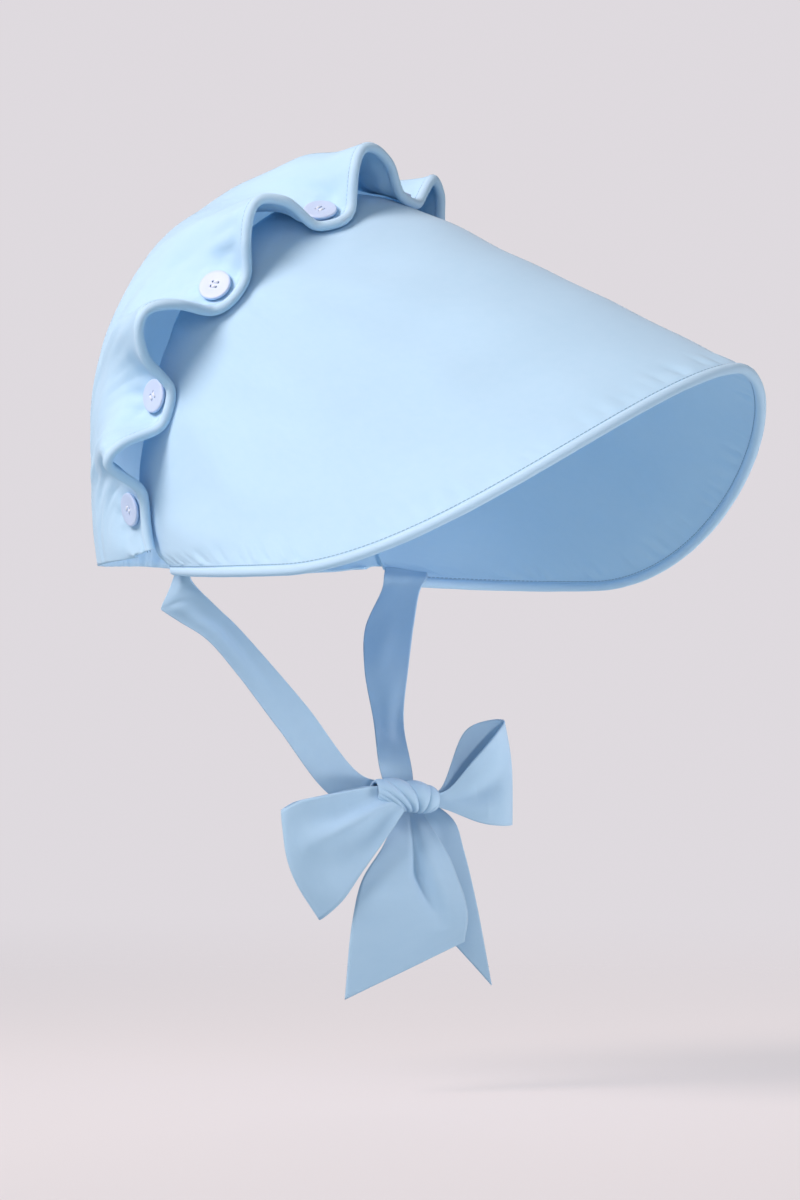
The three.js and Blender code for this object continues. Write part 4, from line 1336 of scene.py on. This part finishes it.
right_rows = tie_rows(-1, RIGHT_STRAP, RIGHT_TAIL)
left_rows = tie_rows(1, LEFT_STRAP, LEFT_TAIL)
print("tie rows:", len(right_rows), len(left_rows))

# %% Fold a strip
STRIP_STEPS = 320
STRIP_COLUMNS = 36
WANDER_DEPTH = 0.4
WANDER_ACROSS = 1.5


def press_fold(grid, along, across, folds):
    """Press soft folds into a strip, with depths as shares of the strip's width at each place."""
    wide = np.linalg.norm(grid[:, -1] - grid[:, 0], axis=-1)[:, None]
    depth = np.zeros(np.broadcast(along, across).shape)
    for fold in folds:
        center = np.interp(along, fold["along"], fold["across"])
        strength = np.interp(along, fold["along"], fold["depth"])
        depth = depth + strength * np.exp(-((across - center) / fold["width"]) ** 2)
    return grid + grid_normals(grid) * (depth * wide)[..., None]


def make_strip(name, rows, folds, pace, seed, belly=(0, 0, 0)):
    """A strip with its folds pressed in, a little unevenness and a wall."""
    grid, along, across = strip_grid(rows, STRIP_STEPS, STRIP_COLUMNS, belly)
    grid = press_fold(grid, along, across, folds)
    wander = soft_noise(across * WANDER_ACROSS, along * pace, seed) * WANDER_DEPTH
    grid = grid + grid_normals(grid) * wander[..., None]
    piece = thicken(grid_object(name, grid), TIE_WALL)
    piece.data.materials.append(tie_cotton)
    return piece


print("a strip has", STRIP_STEPS, "by", STRIP_COLUMNS, "points")

# %% The ties' cloth
TIE_WANDER_PACE = 9
RIGHT_TIE_SEED = 15
LEFT_TIE_SEED = 14
RIGHT_TIE_FOLDS = [
    {"along": (0.33, 0.44, 0.6), "across": (0.62, 0.66, 0.6), "depth": (0, 0.1, 0), "width": 0.2},
    {"along": (0.7, 0.79, 0.97), "across": (0.5, 0.45, 0.4), "depth": (0, -0.05, 0), "width": 0.2},
]
LEFT_TIE_FOLDS = [
    {"along": (0.08, 0.25, 0.5), "across": (0.6, 0.65, 0.7), "depth": (0, 0.03, 0), "width": 0.3},
    {"along": (0.6, 0.83, 0.95), "across": (0.5, 0.38, 0.22), "depth": (0, -0.1, 0), "width": 0.075},
    {"along": (0.66, 0.85, 1.0), "across": (0.3, 0.2, 0.08), "depth": (0, 0.06, 0), "width": 0.13},
    {"along": (0.74, 0.88, 1.0), "across": (0.75, 0.7, 0.65), "depth": (0, 0.03, 0), "width": 0.22},
]
tie_right_cloth = make_strip("tie_right_cloth", right_rows, RIGHT_TIE_FOLDS,
                             TIE_WANDER_PACE, RIGHT_TIE_SEED)
tie_left_cloth = make_strip("tie_left_cloth", left_rows, LEFT_TIE_FOLDS,
                            TIE_WANDER_PACE, LEFT_TIE_SEED)
print("ties:", len(tie_right_cloth.data.polygons), len(tie_left_cloth.data.polygons), "faces")

# %% [markdown]
# ## The bow
# A loop is a strip too. It leaves the knot, turns back on itself and comes home behind, and a belly
# keeps its two walls apart. The knot is a short tube whose creases fan out from below, which makes it
# look wrapped and not moulded.

# %% The bow's loops
RIGHT_LOOP = [
    [(-9, 4, 5), (-3, 8.5, -7.5)],
    [(-21, 5, 4.5), (-12, 9, -20)],
    [(-41, 9, 1), (-25, 9, -37)],
    [(-58, 9, -2), (-37, 9, -53)],
    [(-66, 2, -7), (-46, 2, -62)],
    [(-57, -5, -3), (-36, -5, -50)],
    [(-38, -5, 1), (-22, -5, -30)],
    [(-21, -4, 4.5), (-21, -4, -3.5)],
    [(-11, -2.6, 4.5), (-11, -2.6, -2.5)],
]
LEFT_LOOP = [
    [(11, 2.6, 1.5), (11, 2.6, -5)],
    [(20, 4, 2), (20, 4, -7)],
    [(34, 9, 18), (38, 9, -14)],
    [(47, 8, 32), (50, 8, -15.5)],
    [(53, 2, 38), (57, 2, -15)],
    [(47, -5, 38), (50, -5, -13)],
    [(36, -7, 33), (36, -7, -8)],
    [(20, -4, 2.5), (20, -4, -6)],
    [(11, -2.6, 1.5), (11, -2.6, -5)],
]
RIGHT_LOOP_BELLY = -6
LEFT_LOOP_BELLY = 2
LOOP_WANDER_PACE = 6
RIGHT_LOOP_SEED = 19
LEFT_LOOP_SEED = 18
RIGHT_LOOP_FOLDS = [
    {"along": (0.0, 0.16, 0.42), "across": (0.55, 0.48, 0.42), "depth": (-0.1, -0.11, 0), "width": 0.1},
    {"along": (0.0, 0.2, 0.46), "across": (0.25, 0.22, 0.2), "depth": (0.06, 0.06, 0.01), "width": 0.16},
    {"along": (0.0, 0.2, 0.46), "across": (0.8, 0.76, 0.7), "depth": (0.05, 0.05, 0), "width": 0.16},
]
LEFT_LOOP_FOLDS = [
    {"along": (0.12, 0.24, 0.44), "across": (0.5, 0.5, 0.45), "depth": (0, -0.08, 0), "width": 0.14},
    {"along": (0.12, 0.28, 0.46), "across": (0.82, 0.8, 0.75), "depth": (0, 0.05, 0), "width": 0.16},
]
loop_right_cloth = make_strip("loop_right_cloth", bow_places(RIGHT_LOOP), RIGHT_LOOP_FOLDS,
                              LOOP_WANDER_PACE, RIGHT_LOOP_SEED, bow_side * RIGHT_LOOP_BELLY)
loop_left_cloth = make_strip("loop_left_cloth", bow_places(LEFT_LOOP), LEFT_LOOP_FOLDS,
                             LOOP_WANDER_PACE, LEFT_LOOP_SEED, bow_side * LEFT_LOOP_BELLY)
print("loops:", len(loop_right_cloth.data.polygons), len(loop_left_cloth.data.polygons), "faces")

# %% The knot
KNOT_HALF_LENGTH = 16
KNOT_HALF_DEPTH = 10.5
KNOT_HALF_HEIGHT = 8
KNOT_WALL = 1.5
KNOT_CLOSE = 0.34
KNOT_CREASES = 1.35
KNOT_CREASE_DEPTH = 0.21
KNOT_CREASE_POWER = 0.7
KNOT_CREASE_LEVEL = 0.75
KNOT_FAN_LOW = 0.22
KNOT_LEAN = 0.4
KNOT_TILT = math.radians(-7)
KNOT_COLUMNS = 180
KNOT_ROWS = 70

along = np.linspace(-1, 1, KNOT_ROWS)[:, None]
angle = np.linspace(0, 2 * np.pi, KNOT_COLUMNS, endpoint=False)[None, :]
fan = KNOT_FAN_LOW + (1 - KNOT_FAN_LOW) * (1 + np.sin(angle)) / 2
lean = KNOT_LEAN * (1 - np.sin(angle)) / 2
wave = np.sin(np.pi * KNOT_CREASES * (along - lean) / fan)
crease = np.abs(wave) ** KNOT_CREASE_POWER - KNOT_CREASE_LEVEL
girth = (1 - KNOT_CLOSE * np.abs(along) ** 5) * (1 + KNOT_CREASE_DEPTH * crease * (1 - along ** 4))
side = KNOT_HALF_LENGTH * along + 0 * angle
front = (KNOT_HALF_DEPTH - KNOT_WALL / 2) * girth * np.cos(angle)
up = (KNOT_HALF_HEIGHT - KNOT_WALL / 2) * girth * np.sin(angle) + side * math.tan(KNOT_TILT)
knot_grid = KNOT_CENTER + bow_side * side[..., None] + bow_front * front[..., None]
knot_grid = knot_grid + np.array([0, 0, 1.0]) * up[..., None]
bow_knot_cloth = thicken(grid_object("bow_knot_cloth", knot_grid, ring=True), KNOT_WALL)
bow_knot_cloth.data.materials.append(tie_cotton)
print("knot:", len(bow_knot_cloth.data.polygons), "faces")

# %% [markdown]
# ## Stitching
# A seam of thread runs in the ditch beside each piping, on both faces of the cloth. Its dark blue is
# partly the thread's own colour and partly painted shade for the shadow in the ditch.
# A stitch repeats along a path, which is what Geometry Nodes is for: the tree reads a path at an
# even pitch, sets a small rounded bar on every point, and turns it along the path and off the cloth.

# %% The stitches' tree
BEAD = {"Segments": 8, "Rings": 6, "Radius": 0.5}


def stitch_tree():
    tree, given, result = new_tree("stitches", {
        "Pitch": "Float", "Length": "Float", "Width": "Float", "Thread": "Material",
    })
    path = add_node(tree, "GeometryNodeMeshToCurve", {"Mesh": given["Geometry"]}).outputs[0]
    even = {"Curve": path, "Length": given["Pitch"]}
    paced = add_node(tree, "GeometryNodeResampleCurve", even, mode="LENGTH")
    tangent = add_node(tree, "GeometryNodeInputTangent").outputs[0]
    out = add_node(tree, "GeometryNodeInputNamedAttribute", {"Name": "out"}, data_type="FLOAT_VECTOR")
    kind = "FunctionNodeAlignRotationToVector"
    along = add_node(tree, kind, {"Vector": tangent}, axis="X").outputs[0]
    facing = {"Rotation": along, "Vector": out.outputs["Attribute"]}
    turn = add_node(tree, kind, facing, axis="Z", pivot_axis="X").outputs[0]
    bead = add_node(tree, "GeometryNodeMeshUVSphere", BEAD).outputs["Mesh"]
    size = {"X": given["Length"], "Y": given["Width"], "Z": given["Width"]}
    scale = add_node(tree, "ShaderNodeCombineXYZ", size).outputs[0]
    row = {"Points": paced.outputs[0], "Instance": bead, "Rotation": turn, "Scale": scale}
    stitches = add_node(tree, "GeometryNodeInstanceOnPoints", row).outputs[0]
    end_tree(tree, stitches, result, given["Thread"])
    return tree


stitch_rule = stitch_tree()
# Partly the thread's own colour and partly painted shade: the seam is made dark blue to stand for the
# shadow in the ditch beside the piping.
thread_and_ditch_shade_colors = ((0.16, 0.33, 0.52), (0.26, 0.45, 0.64))
blue_thread = mottled("blue_thread", "ShaderNodeTexNoise", {"Scale": 1500.0}, thread_and_ditch_shade_colors, 0.8)
print("the stitches' tree has", len(stitch_rule.nodes), "nodes")

# %% Seams beside the piping
STITCH_PITCH = 2.3
STITCH_LENGTH = 2.25
STITCH_WIDTH = 0.5
BRIM_SEAM_AHEAD = 0.45
CROWN_SEAM_AHEAD = 0.8
BRIM_SEAM_REACH = 0.97
CROWN_SEAM_REACH = 0.1


def sew(name, points, normals):
    path = path_object(name, points, normals)
    attach(path, stitch_rule, {
        "Pitch": STITCH_PITCH * MM, "Length": STITCH_LENGTH * MM, "Width": STITCH_WIDTH * MM,
        "Thread": blue_thread,
    })
    return settle(path, name)


seam_normals = brim_normals(line_shares, np.full_like(line_shares, BRIM_SEAM_REACH))
brim_seam = edge_here + edge_outward * BRIM_SEAM_AHEAD
ruffle_tangent = unit(np.gradient(ruffle_here, axis=0))
ruffle_normals = unit(np.cross(ruffle_way, ruffle_tangent))
brim_below = brim_normals(ruffle_shares, np.full_like(ruffle_shares, CROWN_SEAM_REACH))
ruffle_normals = ruffle_normals * np.sign(dot(ruffle_normals, brim_below))
crown_seam = ruffle_here + ruffle_way * CROWN_SEAM_AHEAD
stitch_pieces = [
    sew("brim_seam_out", brim_seam + seam_normals * BRIM_WALL / 2, seam_normals),
    sew("brim_seam_in", brim_seam - seam_normals * BRIM_WALL / 2, -seam_normals),
    sew("crown_seam_out", crown_seam + ruffle_normals * CROWN_WALL / 2, ruffle_normals),
    sew("crown_seam_in", crown_seam - ruffle_normals * CROWN_WALL / 2, -ruffle_normals),
]
print("stitch faces:", [len(piece.data.polygons) for piece in stitch_pieces])

# %% [markdown]
# ## Standing in for the solids
# Each piece rides on the one rigid body of the record and stands for its plain solid. A table lists
# the flat size that every sheet of cloth was cut to. The brim's is its ruled strip unrolled in the
# plane; the others are the lengths, widths and areas of the plain shapes above, before folds and walls,
# so a fault in the finished mesh shows as a difference.

# %% Ride and replace
stands_for = {
    brim_cloth: ("brim", "cloth"), brim_edge_piping: ("brim_piping", "piping"),
    crown_cloth: ("crown", "cloth"), crown_edge_piping: ("crown_piping", "piping"),
    tie_right_cloth: ("tie_right", "tie"), tie_left_cloth: ("tie_left", "tie"),
    loop_right_cloth: ("bow_loop_right", "tie"), loop_left_cloth: ("bow_loop_left", "tie"),
    bow_knot_cloth: ("bow_knot", "tie"),
}
for i, piece in enumerate(button_pieces):
    stands_for[piece] = (f"button_{i + 1}", "button")
for piece, (node, slot) in stands_for.items():
    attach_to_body(piece, "root")
    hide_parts(node)
for piece in thread_pieces:
    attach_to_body(piece, "root")
for piece in stitch_pieces:
    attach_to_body(piece, "root")
print("pieces that stand for a solid:", len(stands_for))

SHEETS = [
    {"piece": brim_cloth, "flat": (0.253, 0.508), "area": 0.0986, "held": "stretched"},
    {"piece": crown_cloth, "flat": (0.312, 0.781), "area": 0.0807, "held": "gathered"},
    {"piece": tie_right_cloth, "flat": (0.064, 0.265), "area": 0.0053, "held": "hung"},
    {"piece": tie_left_cloth, "flat": (0.070, 0.268), "area": 0.0075, "held": "hung"},
    {"piece": loop_right_cloth, "flat": (0.059, 0.138), "area": 0.00455, "held": "folded"},
    {"piece": loop_left_cloth, "flat": (0.053, 0.107), "area": 0.00311, "held": "folded"},
    {"piece": bow_knot_cloth, "flat": (0.032, 0.054), "area": 0.00172, "held": "folded"},
]


def wall_area(piece):
    """Half the surface of a closed wall, in square metres."""
    return sum(face.area for face in piece.data.polygons) / 2


for row in SHEETS:
    made = wall_area(row["piece"])
    print(row["piece"].name, "cut", row["area"], "m2, made", round(made, 5), "m2")
